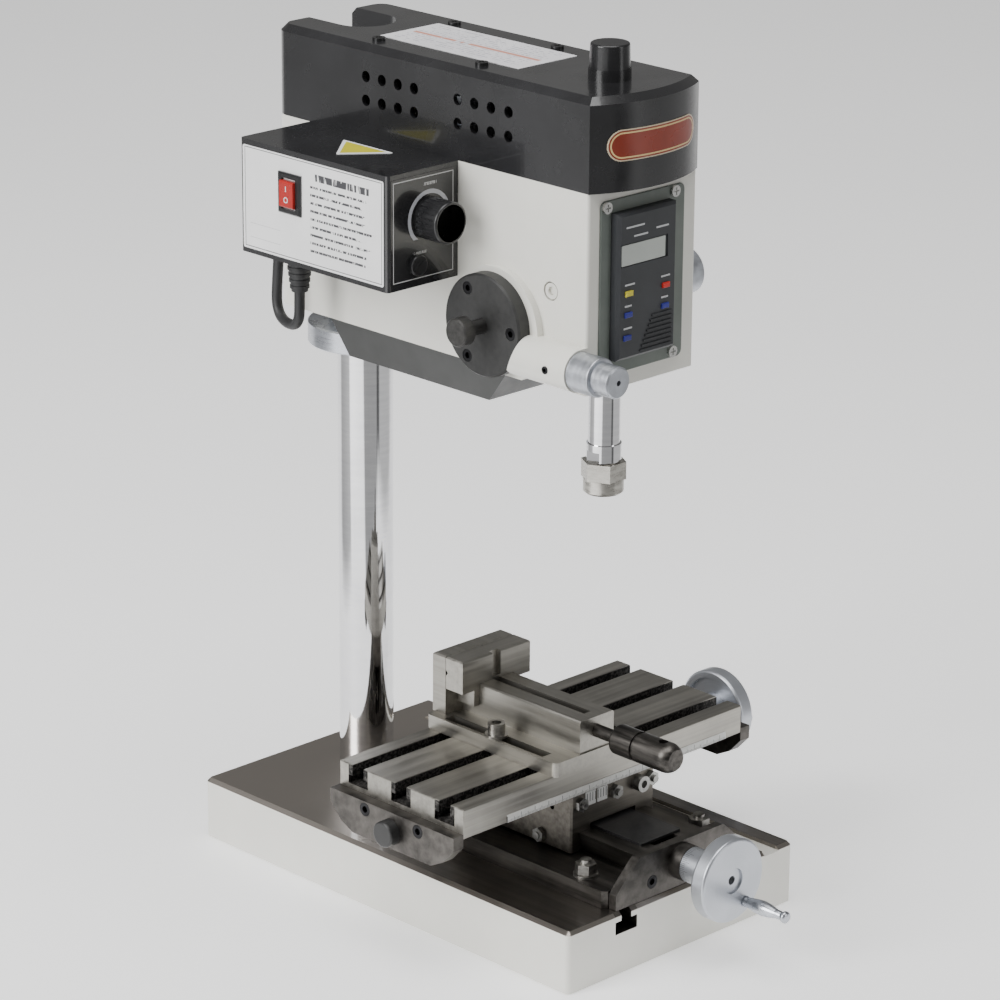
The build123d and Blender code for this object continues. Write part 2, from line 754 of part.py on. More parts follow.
# ---------------------------------------------------------------- head casting
bay = (spindle_y + bay_front, column_y - bay_back)
inner_half = head_half - head_wall
cap_radius = 27.0
boss_out = 4.0
boss_face = -head_half - boss_out
cap_screw_circle = 20.6
cap_angles = (180, 60, -60)
gauge_screws = [(side * 24.5 - 3.0, z) for side in (-1, 1) for z in (head_z + 11.5, head_z + 95.5)]
lock_y = column_y + 22
lock_z = head_z + 39
quill_lock = (-head_half, spindle_y + 1, head_z + 49.4)
set_screw_y = head_front + 13.2
lead_port = (-head_half, column_y + 6.5, head_z + 52)

with BuildPart() as head_casting:
    block((-head_half, head_half), (head_front, head_back), (head_z, head_top))
    fillet(head_casting.edges().filter_by(Axis.Z).group_by(Axis.Y)[-1], head_corner)
    fillet(head_casting.edges().filter_by(Axis.Z).group_by(Axis.Y)[0], 2.0)
    block((-inner_half, inner_half), bay, (head_z - 1, head_top + 1), Mode.SUBTRACT)
    rod((-head_half + 1, pinion_y - 1, pinion_z - 1.5), LEFT, cap_radius + 4.5, boss_out + 1)
    rod((worm_x, pinion_y - 20, worm_z), FORWARD, 11, pinion_y - 20 - head_front)
    block((worm_x, -head_half + 1), (head_front, pinion_y - 20), (worm_z - 11, worm_z + 11))
    block((-head_half - 30, -head_half + 2), (head_front, 20), (head_z - 20, head_z), Mode.SUBTRACT)
    rod((head_half - 1, pinion_y, pinion_z), RIGHT, 14, boss_out + 1)
    rod((boss_face, pinion_y, pinion_z), LEFT, cap_radius + 0.3, 20, Mode.SUBTRACT)
    rod((0, spindle_y, head_z - 1), UP, quill_radius + quill_fit, 90, Mode.SUBTRACT)
    rod((0, spindle_y, head_z + 80), UP, 11.0, 40, Mode.SUBTRACT)
    block((-5.3, 5.3), (spindle_y + 15, spindle_y + 29), (head_z - 1, head_z + 89), Mode.SUBTRACT)
    rod((-6, pinion_y, pinion_z), RIGHT, 13.4, 12, Mode.SUBTRACT)
    rod((boss_face - 1, pinion_y, pinion_z), RIGHT, shaft_radius + shaft_fit, 90, Mode.SUBTRACT)
    rod((worm_x, head_front - 1, worm_z), BACKWARD, 4.05, 78, Mode.SUBTRACT)
    rod((boss_face + 2.4, pinion_y, pinion_z), LEFT, 7.6, 5, Mode.SUBTRACT)
    rod((0, column_y, head_z - 1), UP, column_radius + column_fit, 106, Mode.SUBTRACT)
    block((-1, 1), (column_y + 10, head_back + 1), (head_z - 1, head_top + 1), Mode.SUBTRACT)
    rod((-25, lock_y, lock_z), RIGHT, 3.05, 70, Mode.SUBTRACT)
    rod((worm_x - 12, set_screw_y, worm_z), RIGHT, 2.05, 10, Mode.SUBTRACT)
    rod((quill_lock[0] - 1, quill_lock[1], quill_lock[2]), RIGHT, 5.0, 4, Mode.SUBTRACT)
    rod((quill_lock[0] - 1, quill_lock[1], quill_lock[2]), RIGHT, 3.05, 25, Mode.SUBTRACT)
    rod((lead_port[0] - 1, lead_port[1], lead_port[2]), RIGHT, 3.1, 8, Mode.SUBTRACT)
    for x, z in gauge_screws:
        rod((x, head_front - 1, z), BACKWARD, 1.6, 9, Mode.SUBTRACT)
    for angle in cap_angles:
        y = pinion_y + cap_screw_circle * math.cos(math.radians(angle))
        z = pinion_z + cap_screw_circle * math.sin(math.radians(angle))
        rod((boss_face - 1, y, z), RIGHT, 1.8, 8, Mode.SUBTRACT)
save(head_casting, "head_casting")

# ---------------------------------------------------------------- top cover
cover_screws = [(side * 27.0, y) for side in (-1, 1) for y in (column_y - 116.5, column_y - 40.5)]
vent_rows = [22.0, 34.0, 46.0, 58.0, -10.0, -22.0, -34.0, -46.5]
notch_radius = column_radius + notch_clearance

with BuildPart() as top_cover:
    with BuildSketch(Plane.XY.offset(head_top)) as cover_outline:
        with BuildLine():
            Polyline((-head_half, head_front), (-head_half, head_back), (head_half, head_back), (head_half, head_front))
            ThreePointArc((head_half, head_front), (0, head_front - cover_bulge), (-head_half, head_front))
        make_face()
        fillet(cover_outline.vertices().group_by(Axis.Y)[-1], head_corner)
    extrude(amount=cover_height)
    chamfer(top_cover.faces().sort_by(Axis.Z)[-1].edges(), cover_chamfer)
    core_half = head_half - cover_wall
    core_front = head_front + 1.5
    with BuildSketch(Plane.XY.offset(head_top)):
        with BuildLine():
            Polyline(
                (-core_half, core_front),
                (-core_half, head_back - 12),
                (-core_half + 10, head_back - 3),
                (core_half - 10, head_back - 3),
                (core_half, head_back - 12),
                (core_half, core_front),
            )
            ThreePointArc(
                (core_half, core_front), (0, head_front - cover_bulge + cover_wall), (-core_half, core_front)
            )
        make_face()
        with Locations((0, column_y)):
            Circle(notch_radius + cover_wall, mode=Mode.SUBTRACT)
        with Locations((0, column_y + 20)):
            Rectangle(2 * (notch_radius + cover_wall), 40, mode=Mode.SUBTRACT)
        with Locations(*cover_screws):
            Circle(4.0, mode=Mode.SUBTRACT)
    extrude(amount=cover_height - cover_wall - 1.2, mode=Mode.SUBTRACT)
    rod((0, column_y, head_top - 1), UP, notch_radius, 60, Mode.SUBTRACT)
    block((-notch_radius, notch_radius), (column_y, head_back + 1), (head_top - 1, cover_top + 1), Mode.SUBTRACT)
    rod((0, spindle_y, cover_top - 10), UP, 8.5, 12, Mode.SUBTRACT)
    for x, y in cover_screws:
        rod((x, y, cover_top + 1), DOWN, 1.6, 12, Mode.SUBTRACT)
    for y in vent_rows:
        for rise in (19.0, 31.5):
            rod((-head_half - 1, y, head_top + rise), RIGHT, 3.0, 5, Mode.SUBTRACT)
            rod((head_half + 1, y, head_top + rise), LEFT, 3.0, 5, Mode.SUBTRACT)
save(top_cover, "top_cover")

with BuildPart() as spindle_cap:
    rod((0, spindle_y, cover_top), UP, 10.9, 5.5)
    cone((0, spindle_y, cover_top + 5), UP, 10.4, 10.0, 13.2)
    fillet(spindle_cap.edges().group_by(Axis.Z)[-1], 1.0)
    rod((0, spindle_y, cover_top - 1), UP, 8.5, 16, Mode.SUBTRACT)
save(spindle_cap, "spindle_cap")

# ---------------------------------------------------------------- motor cover under the head
belly_drop = 20.5
belly_wall = 1.5


with BuildPart() as belly_core:
    with BuildSketch(Plane.XY.offset(head_z + 0.01)):
        with Locations((0, 19.5)):
            Rectangle(head_width - 2 * belly_wall, 133 - 2 * belly_wall)
    with BuildSketch(Plane.XY.offset(head_z - belly_drop + belly_wall)):
        with Locations((0, 25)):
            Rectangle(66 - 2 * belly_wall, 106 - 2 * belly_wall)
    loft()
    rod((0, column_y, head_z - 40), UP, collar_radius + 3.5, 60, Mode.SUBTRACT)

with BuildPart() as motor_cover:
    with BuildSketch(Plane.XY.offset(head_z)):
        with Locations((0, 19.5)):
            Rectangle(head_width, 133)
    with BuildSketch(Plane.XY.offset(head_z - belly_drop)):
        with Locations((0, 25)):
            Rectangle(66, 106)
    loft()
    rod((0, column_y, head_z - 40), UP, collar_radius + 2, 60, Mode.SUBTRACT)
    add(belly_core.part, mode=Mode.SUBTRACT)
save(motor_cover, "motor_cover")

# ---------------------------------------------------------------- motor, pulleys and belt
motor_base = head_z - 18
motor_top = motor_base + motor_length
pulley_z = head_top + 6
groove = 2.0

with BuildPart() as motor:
    rod((0, motor_y, motor_base), UP, motor_radius, motor_length)
    fillet(motor.edges().group_by(Axis.Z)[0], 2.0)
    block((-inner_half, inner_half), (motor_y - 24, motor_y + 24), (motor_top - 4, motor_top))
    rod((0, motor_y, motor_top - 12), UP, 4.05, 13, Mode.SUBTRACT)
save(motor, "motor")

with BuildPart() as spindle_pulley:
    rod((0, spindle_y, pulley_z), UP, spindle_pulley_radius, pulley_height)
    rod((0, spindle_y, head_top - 11), UP, 10.95, 18)
    with BuildSketch(Plane.XY.offset(pulley_z + 2.5)):
        with Locations((0, spindle_y)):
            Circle(spindle_pulley_radius + 1)
            Circle(spindle_pulley_radius - groove, mode=Mode.SUBTRACT)
    extrude(amount=pulley_height - 5, mode=Mode.SUBTRACT)
    rod((0, spindle_y, head_top - 12), UP, 5.05, 50, Mode.SUBTRACT)
save(spindle_pulley, "spindle_pulley")

with BuildPart() as motor_pulley:
    rod((0, motor_y, pulley_z), UP, motor_pulley_radius, pulley_height)
    with BuildSketch(Plane.XY.offset(pulley_z + 2.5)):
        with Locations((0, motor_y)):
            Circle(motor_pulley_radius + 1)
            Circle(motor_pulley_radius - groove, mode=Mode.SUBTRACT)
    extrude(amount=pulley_height - 5, mode=Mode.SUBTRACT)
    rod((0, motor_y, motor_top - 10), UP, 4.0, pulley_z - motor_top + 11)
save(motor_pulley, "motor_pulley")

with BuildPart() as drive_belt:
    with BuildSketch(Plane.XY.offset(pulley_z + 4)):
        with Locations((0, spindle_y)):
            Circle(spindle_pulley_radius - groove + belt_gap + belt_thickness)
        with Locations((0, motor_y)):
            Circle(motor_pulley_radius - groove + belt_gap + belt_thickness)
        make_hull()
    extrude(amount=pulley_height - 8)
    with BuildSketch(Plane.XY.offset(pulley_z + 4)):
        with Locations((0, spindle_y)):
            Circle(spindle_pulley_radius - groove + belt_gap)
        with Locations((0, motor_y)):
            Circle(motor_pulley_radius - groove + belt_gap)
        make_hull()
    extrude(amount=pulley_height - 8, mode=Mode.SUBTRACT)
save(drive_belt, "drive_belt")

# ---------------------------------------------------------------- quill, bearings and spindle
bearing_radius = 11.0
bearing_width = 7.0
rack_line = pinion_y - pitch_radius
quill_top = quill_z + quill_length
tooth_root = 1.9
tooth_tip = 0.76
addendum = 0.8
dedendum = 1.1
pitch = module * math.pi
rack_steps = [n for n in range(-6, 16)]

with BuildPart() as quill:
    rod((0, spindle_y, quill_z), UP, quill_radius, quill_length)
    chamfer(quill.edges(), 0.8)
    block((-pinion_half, pinion_half), (spindle_y + 15, rack_line - dedendum), (quill_z + 2, quill_top - 2))
    with BuildSketch(Plane.YZ.offset(-pinion_half)):
        for n in rack_steps:
            z = pinion_z + (n + 0.5) * pitch
            with BuildLine():
                Polyline(
                    (rack_line - dedendum - 0.2, z - tooth_root / 2),
                    (rack_line + addendum, z - tooth_tip / 2),
                    (rack_line + addendum, z + tooth_tip / 2),
                    (rack_line - dedendum - 0.2, z + tooth_root / 2),
                    close=True,
                )
            make_face()
    extrude(amount=2 * pinion_half)
    rod((0, spindle_y, quill_z - 1), UP, spindle_radius + 0.4, quill_length + 2, Mode.SUBTRACT)
    rod((0, spindle_y, quill_z - 1), UP, bearing_radius + 0.02, bearing_width + 1, Mode.SUBTRACT)
    rod((0, spindle_y, quill_top + 1), DOWN, bearing_radius + 0.02, bearing_width + 1, Mode.SUBTRACT)
save(quill, "quill")

with BuildPart() as spindle_bearings:
    rod((0, spindle_y, quill_z), UP, bearing_radius, bearing_width)
    rod((0, spindle_y, quill_top - bearing_width), UP, bearing_radius, bearing_width)
    rod((0, spindle_y, quill_z - 1), UP, spindle_radius + 0.05, quill_length + 2, Mode.SUBTRACT)
save(spindle_bearings, "spindle_bearings")

nose_z = head_z - nose_reach
with BuildPart() as spindle:
    rod((0, spindle_y, nose_z + 9), UP, spindle_radius, quill_top - nose_z - 9)
    rod((0, spindle_y, quill_top - 0.01), UP, 5.0, 56)
    rod((0, spindle_y, nose_z), UP, 9.15, 9.7)
    chamfer(spindle.edges().group_by(Axis.Z)[0], 0.6)
    block((-10, -8.0), (spindle_y - 10, spindle_y + 10), (nose_z - 1, nose_z + 6), Mode.SUBTRACT)
    block((8.0, 10), (spindle_y - 10, spindle_y + 10), (nose_z - 1, nose_z + 6), Mode.SUBTRACT)
    rod((0, spindle_y, nose_z - 11), UP, 6.5, 12)
    rod((0, spindle_y, nose_z - 12), UP, collet_bore, 18, Mode.SUBTRACT)
save(spindle, "spindle")

with BuildPart() as collet_nut:
    hexagon((0, spindle_y, nose_z - 9.4), UP, 20.8, 9.4)
    rod((0, spindle_y, nose_z - nut_height), UP, 10.6, nut_height - 9.3)
    chamfer(collet_nut.edges().group_by(Axis.Z)[0], 1.0)
    rod((0, spindle_y, nose_z - 11.1), UP, 6.52, 12, Mode.SUBTRACT)
    rod((0, spindle_y, nose_z - nut_height - 1), UP, collet_bore, nut_height, Mode.SUBTRACT)
save(collet_nut, "collet_nut")

# ---------------------------------------------------------------- quill feed
gear_teeth_x = pinion_half - 0.2
tooth_outline = [
    (pitch_radius - dedendum - 0.3, -tooth_root / 2),
    (pitch_radius + addendum, -tooth_tip / 2),
    (pitch_radius + addendum, tooth_tip / 2),
    (pitch_radius - dedendum - 0.3, tooth_root / 2),
]
with BuildPart() as pinion_shaft:
    rod((boss_face - 19.0, pinion_y, pinion_z), RIGHT, 4.0, 15.1)
    rod((boss_face - 4, pinion_y, pinion_z), RIGHT, shaft_radius, head_half * 2 + 64)
    rod((boss_face - 26, pinion_y, pinion_z), RIGHT, 7.5, 7.0)
    chamfer(pinion_shaft.edges().group_by(Axis.X)[0], 0.8)
    rod((-gear_teeth_x, pinion_y, pinion_z), RIGHT, pitch_radius - dedendum, 2 * gear_teeth_x)
    with BuildSketch(Plane.YZ.offset(-gear_teeth_x)):
        for n in range(pinion_teeth):
            turn = math.radians(180 + n * 360 / pinion_teeth)
            corners = []
            for out, across in tooth_outline:
                y = pinion_y + out * math.cos(turn) - across * math.sin(turn)
                z = pinion_z + out * math.sin(turn) + across * math.cos(turn)
                corners.append((y, z))
            with BuildLine():
                Polyline(*corners, close=True)
            make_face()
    extrude(amount=2 * gear_teeth_x)
save(pinion_shaft, "pinion_shaft")

with BuildPart() as worm_gear:
    rod((worm_x - 3, pinion_y, pinion_z), RIGHT, 6.9, 6)
    rod((worm_x - 4, pinion_y, pinion_z), RIGHT, shaft_radius + 0.02, 8, Mode.SUBTRACT)
save(worm_gear, "worm_gear")

cap_depth = 7.6
with BuildPart() as feed_housing_cap:
    rod((boss_face, pinion_y, pinion_z), LEFT, cap_radius, cap_depth)
    chamfer(feed_housing_cap.edges().group_by(Axis.X)[0], 1.0)
    rod((boss_face + 1, pinion_y, pinion_z), LEFT, 17.0, cap_depth - 0.8, Mode.SUBTRACT)
    rod((boss_face, pinion_y, pinion_z), LEFT, 4.05, cap_depth + 1, Mode.SUBTRACT)
    rod((worm_x, pinion_y, worm_z), FORWARD, 4.3, 40, Mode.SUBTRACT)
    for angle in cap_angles:
        y = pinion_y + cap_screw_circle * math.cos(math.radians(angle))
        z = pinion_z + cap_screw_circle * math.sin(math.radians(angle))
        rod((boss_face - 8, y, z), RIGHT, 1.8, 9, Mode.SUBTRACT)
        rod((boss_face - 8, y, z), RIGHT, 3.4, 3.6, Mode.SUBTRACT)
save(feed_housing_cap, "feed_housing_cap")

with BuildPart() as feed_lever:
    hub_start = head_half + boss_out + 0.3
    rod((hub_start, pinion_y, pinion_z), RIGHT, 8.0, 40)
    rod((hub_start + 39, pinion_y, pinion_z), RIGHT, 12.5, 20)
    chamfer(feed_lever.edges().group_by(Axis.X)[-1], 1.0)
    rod((hub_start + 50, pinion_y, pinion_z), (0, 0.97, -0.243), 3.0, 92)
    with Locations((hub_start + 50, pinion_y + 0.97 * 96, pinion_z - 0.243 * 96)):
        Sphere(7.5)
    rod((hub_start - 1, pinion_y, pinion_z), RIGHT, shaft_radius + 0.02, 70, Mode.SUBTRACT)
save(feed_lever, "feed_lever")

with BuildPart() as fine_feed_knob:
    rod((worm_x, pinion_y + 7, worm_z), FORWARD, 4.0, pinion_y + 7 - head_front + 1)
    rod((worm_x, head_front - 0.3, worm_z), FORWARD, 10.2, 15)
    fillet(fine_feed_knob.edges().filter_by(GeomType.CIRCLE).group_by(Axis.Y)[0], 0.8)
    rod((worm_x, head_front - 15, worm_z), FORWARD, 8.2, 12.3)
    chamfer(fine_feed_knob.edges().group_by(Axis.Y)[0], 0.8)
    rod((worm_x, head_front - 28, worm_z), BACKWARD, 1.4, 9, Mode.SUBTRACT)
save(fine_feed_knob, "fine_feed_knob")

with BuildPart() as lock_handle:
    rod((-22, lock_y, lock_z), RIGHT, 3.0, 22 + head_half + 2)
    rod((head_half + 0.3, lock_y, lock_z), RIGHT, 7.0, 14)
    chamfer(lock_handle.edges().group_by(Axis.X)[-1], 1.0)
    rod((head_half + 8, lock_y, lock_z), (0, 0.35, 0.937), 3.2, 46)
    with Locations((head_half + 8, lock_y + 0.35 * 48, lock_z + 0.937 * 48)):
        Sphere(6.5)
save(lock_handle, "lock_handle")

# ---------------------------------------------------------------- head fasteners
with BuildPart() as head_socket_screws:
    for angle in cap_angles:
        y = pinion_y + cap_screw_circle * math.cos(math.radians(angle))
        z = pinion_z + cap_screw_circle * math.sin(math.radians(angle))
        cap_screw((boss_face - 4.4, y, z), RIGHT, 1.75, 10, 3.2, 3.0)
    rod((worm_x - 11.4, set_screw_y, worm_z), RIGHT, 2.0, 6.6)
    rod((worm_x - 12, set_screw_y, worm_z), RIGHT, 1.0, 3, Mode.SUBTRACT)
    cap_screw((quill_lock[0] + 3, quill_lock[1], quill_lock[2]), RIGHT, 3.0, 11, 4.2, 2.6)
save(head_socket_screws, "head_socket_screws")

with BuildPart() as cross_head_screws:
    for x, y in cover_screws:
        rod((x, y, cover_top), DOWN, 1.55, 9)
        rod((x, y, cover_top), UP, 3.4, 1.6)
        block((x - 2.2, x + 2.2), (y - 0.4, y + 0.4), (cover_top + 0.8, cover_top + 2), Mode.SUBTRACT)
        block((x - 0.4, x + 0.4), (y - 2.2, y + 2.2), (cover_top + 0.8, cover_top + 2), Mode.SUBTRACT)
    for x, z in gauge_screws:
        face = head_front - 1.0
        rod((x, face, z), BACKWARD, 1.55, 7.5)
        rod((x, face, z), FORWARD, 3.0, 1.5)
        block((x - 1.9, x + 1.9), (face - 2, face - 0.8), (z - 0.35, z + 0.35), Mode.SUBTRACT)
        block((x - 0.35, x + 0.35), (face - 2, face - 0.8), (z - 1.9, z + 1.9), Mode.SUBTRACT)
save(cross_head_screws, "cross_head_screws")

# ---------------------------------------------------------------- control box
bezel_y = column_y - 39.6
bezel_z = head_z + 81.4
dial_x = box_left + 28.5
dial_z = head_z + 78
fuse_x = box_left + 19.6
fuse_z = head_z + 55
gland_x = box_left + 27.8
gland_y = box_back - 14.2
rocker_half = (5.2, 7.0)
window_half = (6.95, 9.25)

with BuildPart() as control_box:
    block((box_left, -head_half), (box_front, box_back), (box_z, head_top))
    fillet(control_box.edges().filter_by(Axis.Z).group_by(Axis.X)[0], 2.0)
    block(
        (box_left + box_wall, -head_half + 1),
        (box_front + box_wall, box_back - box_wall),
        (box_z + box_wall, head_top - box_wall),
        Mode.SUBTRACT,
    )
    block(
        (box_left - 1, box_left + 3),
        (bezel_y - window_half[0], bezel_y + window_half[0]),
        (bezel_z - window_half[1], bezel_z + window_half[1]),
        Mode.SUBTRACT,
    )
    rod((dial_x, box_front - 1, dial_z), BACKWARD, 3.05, 5, Mode.SUBTRACT)
    rod((fuse_x, box_front - 1, fuse_z), BACKWARD, 4.55, 5, Mode.SUBTRACT)
    rod((gland_x, gland_y, box_z - 1), UP, 4.55, 5, Mode.SUBTRACT)
save(control_box, "control_box")

with BuildPart() as rocker_bezel:
    block((box_left - 2, box_left), (bezel_y - 8.5, bezel_y + 8.5), (bezel_z - 10.8, bezel_z + 10.8))
    chamfer(rocker_bezel.faces().sort_by(Axis.X)[0].edges(), 0.8)
    block((box_left - 0.5, box_left + 12), (bezel_y - 6.9, bezel_y + 6.9), (bezel_z - 9.2, bezel_z + 9.2))
    block((box_left - 3, box_left + 10), (bezel_y - 5.3, bezel_y + 5.3), (bezel_z - 8.2, bezel_z + 8.2), Mode.SUBTRACT)
    rod((box_left + 1.3, bezel_y - 6.4, bezel_z), BACKWARD, 1.05, 12.8, Mode.SUBTRACT)
save(rocker_bezel, "rocker_bezel")

with BuildPart() as rocker:
    block(
        (box_left - 3.7, box_left + 4.8),
        (bezel_y - rocker_half[0], bezel_y + rocker_half[0]),
        (bezel_z - rocker_half[1], bezel_z + rocker_half[1]),
    )
    fillet(rocker.edges().filter_by(Axis.Y), 1.0)
    rod((box_left + 1.3, bezel_y - 6.3, bezel_z), BACKWARD, 1.0, 12.6)
save(rocker, "rocker")

with BuildPart() as speed_knob:
    rod((dial_x, box_front - 16.3, dial_z), BACKWARD, 11.0, 16.0)
    fillet(speed_knob.edges().group_by(Axis.Y)[0], 1.0)
    with BuildSketch(Plane.XZ.offset(-(box_front - 14))):
        with Locations((dial_x, dial_z)):
            with PolarLocations(11.2, 24):
                Circle(0.55)
    extrude(amount=-12, mode=Mode.SUBTRACT)
    rod((dial_x, box_front - 5, dial_z), BACKWARD, 3.0, 12)
    rod((dial_x, box_front + box_wall + 0.3, dial_z), BACKWARD, 6.0, 4)
save(speed_knob, "speed_knob")

with BuildPart() as fuse_holder:
    rod((fuse_x, box_front, fuse_z), FORWARD, 5.5, 3)
    fillet(fuse_holder.edges().group_by(Axis.Y)[0], 0.6)
    rod((fuse_x, box_front - 0.5, fuse_z), BACKWARD, 4.5, 14)
save(fuse_holder, "fuse_holder")

with BuildPart() as cable_glands:
    rod((gland_x, gland_y, box_z), DOWN, 8.0, 5)
    cone((gland_x, gland_y, box_z - 5), DOWN, 6.8, 4.4, 19.5)
    for step in range(5):
        rod((gland_x, gland_y, box_z - 7.5 - 3.4 * step), DOWN, 6.9 - 0.42 * step, 1.6)
    rod((gland_x, gland_y, box_z - 1), UP, 4.5, 8)
    rod((gland_x, gland_y, box_z - 40), UP, lead_radius + 0.25, 60, Mode.SUBTRACT)
    rod(lead_port, LEFT, 5.5, 2.2)
    rod((lead_port[0] + 1, lead_port[1], lead_port[2]), LEFT, lead_radius + 0.05, 5, Mode.SUBTRACT)
save(cable_glands, "cable_glands")

# The lead hangs from the gland in a U and turns into the head; straight runs joined by tangent arcs
lead_points = [
    (gland_x, gland_y, box_z + 2.5),
    (gland_x, gland_y, box_z - 25.5),
    (gland_x - 1.2, gland_y - 0.6, collar_z + 21.5),
    (gland_x + 4.6, gland_y + 24.2, collar_z + 22.5),
    (gland_x + 5.6, lead_port[1] + 2.6, collar_z + 49),
    (gland_x + 6.2, lead_port[1], lead_port[2]),
    (-head_half + 3.5, lead_port[1], lead_port[2]),
]


def bend_radii(points):
    """The largest tangent arc that keeps the straights each side of every corner."""
    radii = []
    for before, corner, after in zip(points, points[1:], points[2:]):
        first = Vector(*corner) - Vector(*before)
        second = Vector(*after) - Vector(*corner)
        turn = math.radians(first.get_angle(second))
        radii.append(0.45 * min(first.length, second.length) / math.tan(turn / 2))
    return radii


lead_bends = bend_radii(lead_points)
print("lead bend radii", [round(value, 2) for value in lead_bends])
with BuildPart() as motor_lead:
    with BuildLine() as lead_line:
        FilletPolyline(*lead_points, radius=lead_bends)
    with BuildSketch(lead_line.line ^ 0):
        Circle(lead_radius)
    sweep(path=lead_line.line)
lead_length = sum(edge.length for edge in lead_line.line.edges())
print("lead length", round(lead_length, 2), "volume", round(motor_lead.part.volume, 1))
print("section by length", round(lead_length * math.pi * lead_radius**2, 1))
save(motor_lead, "motor_lead")

# ---------------------------------------------------------------- depth gauge on the head's front
gauge_left = -23.6
gauge_right = 18.4
gauge_face = head_front - 6.5
button_spots = [
    ("button_yellow", -16.3, 50.5),
    ("button_red", 10.3, 49.9),
    ("button_blue_right", 9.9, 39.2),
    ("button_blue_left", -16.5, 39.5),
    ("button_blue_low", -17.1, 27.6),
]

with BuildPart() as gauge_frame:
    block((-31.0, 29.2), (head_front - 1.0, head_front), (head_z + 8, head_z + 98.7))
    fillet(gauge_frame.edges().filter_by(Axis.Y), 3.5)
    chamfer(gauge_frame.faces().sort_by(Axis.Y)[0].edges(), 0.3)
    block(
        (gauge_left - 0.2, gauge_right + 0.2),
        (head_front - 5, head_front + 1),
        (head_z + 15.8, head_z + 92.2),
        Mode.SUBTRACT,
    )
    for x, z in gauge_screws:
        rod((x, head_front - 5, z), BACKWARD, 1.6, 6, Mode.SUBTRACT)
save(gauge_frame, "gauge_frame")

with BuildPart() as gauge_body:
    block((gauge_left, gauge_right), (gauge_face, head_front), (head_z + 16, head_z + 92))
    chamfer(gauge_body.faces().sort_by(Axis.Y)[0].edges(), 1.5)
    block((-22.0, 11.7), (gauge_face - 1, gauge_face + 0.7), (head_z + 64.5, head_z + 76.2), Mode.SUBTRACT)
    for name, x, rise in button_spots:
        block(
            (x - 2.55, x + 2.55),
            (gauge_face - 1, gauge_face + 3.6),
            (head_z + rise - 1.35, head_z + rise + 1.35),
            Mode.SUBTRACT,
        )
save(gauge_body, "gauge_body")

for name, x, rise in button_spots:
    with BuildPart() as button:
        block((x - 2.5, x + 2.5), (gauge_face - 1.2, gauge_face + 2.6), (head_z + rise - 1.3, head_z + rise + 1.3))
        fillet(button.faces().sort_by(Axis.Y)[0].edges(), 0.4)
    save(button, name)
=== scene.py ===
import math

import bmesh
import bpy
from bpy.props import FloatProperty, FloatVectorProperty, IntProperty, PointerProperty
from mathutils import Matrix, Vector


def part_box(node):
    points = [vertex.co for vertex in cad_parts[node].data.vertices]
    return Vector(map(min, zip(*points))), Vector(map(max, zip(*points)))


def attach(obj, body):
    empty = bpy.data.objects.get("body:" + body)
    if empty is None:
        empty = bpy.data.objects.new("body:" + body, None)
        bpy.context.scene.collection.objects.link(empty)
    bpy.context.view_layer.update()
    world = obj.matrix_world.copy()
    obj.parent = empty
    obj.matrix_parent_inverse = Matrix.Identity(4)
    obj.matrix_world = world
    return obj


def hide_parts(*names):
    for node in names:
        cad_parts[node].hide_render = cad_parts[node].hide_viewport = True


bl_info = {
    "name": "Benchtop milling machine",
    "version": (1, 0, 0),
    "blender": (4, 5, 0),
    "location": "3D View > Sidebar > Mill",
    "description": "Plates, scales, handles, lead and finishes for a small round-column milling machine",
    "category": "Object",
}

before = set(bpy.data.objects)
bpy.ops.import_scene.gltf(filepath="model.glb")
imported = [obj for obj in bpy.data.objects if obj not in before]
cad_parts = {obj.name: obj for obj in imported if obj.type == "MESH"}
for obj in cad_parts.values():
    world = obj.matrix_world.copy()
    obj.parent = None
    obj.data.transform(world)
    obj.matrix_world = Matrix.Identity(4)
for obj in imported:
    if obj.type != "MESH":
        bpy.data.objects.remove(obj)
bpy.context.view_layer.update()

BASE_SLOT_X = 0.0428  # the base's T-slots, on either side of its middle
MACHINED_DEPTH = 0.0021  # how far down from the base's top the bare metal reaches
TABLE_SLOT_STEP = 0.0324  # from one T-slot of the table to the next
TABLE_SLOT_HALF = 0.00735  # half the width of the painted shade strip in a table slot
LOCK_SCREW_Z, LOCK_SCREW_Y = 0.3449, -0.07  # the painted quill lock screw is above and in front of these
COVER_BULGE = 0.0105  # how far the cover's curved front stands out at its middle


# ---------------------------------------------------------------- sizes and colours a user would change
class MillFinishSettings(bpy.types.PropertyGroup):
    enamel: FloatVectorProperty(
        name="Enamel", description="Colour of the painted castings", default=(0.80, 0.79, 0.73), subtype="COLOR"
    )
    black: FloatVectorProperty(
        name="Black", description="Colour of cover and control box", default=(0.012, 0.012, 0.013), subtype="COLOR"
    )
    steel: FloatVectorProperty(
        name="Ground steel", description="Colour of the table and vise", default=(0.40, 0.385, 0.35), subtype="COLOR"
    )
    iron: FloatVectorProperty(
        name="Machined iron", description="Colour of the machined base top", default=(0.17, 0.155, 0.14), subtype="COLOR"
    )
    satin: FloatVectorProperty(
        name="Satin aluminium", description="Colour of the handwheels", default=(0.50, 0.52, 0.56), subtype="COLOR"
    )


class MillPlateSettings(bpy.types.PropertyGroup):
    thickness: FloatProperty(
        name="Plate thickness", description="Thickness of the plates and labels", default=0.00025, unit="LENGTH"
    )
    badge_width: FloatProperty(
        name="Badge width", description="Width of the blank badge on the cover", default=0.062, unit="LENGTH"
    )
    badge_height: FloatProperty(
        name="Badge height", description="Height of the blank badge on the cover", default=0.016, unit="LENGTH"
    )


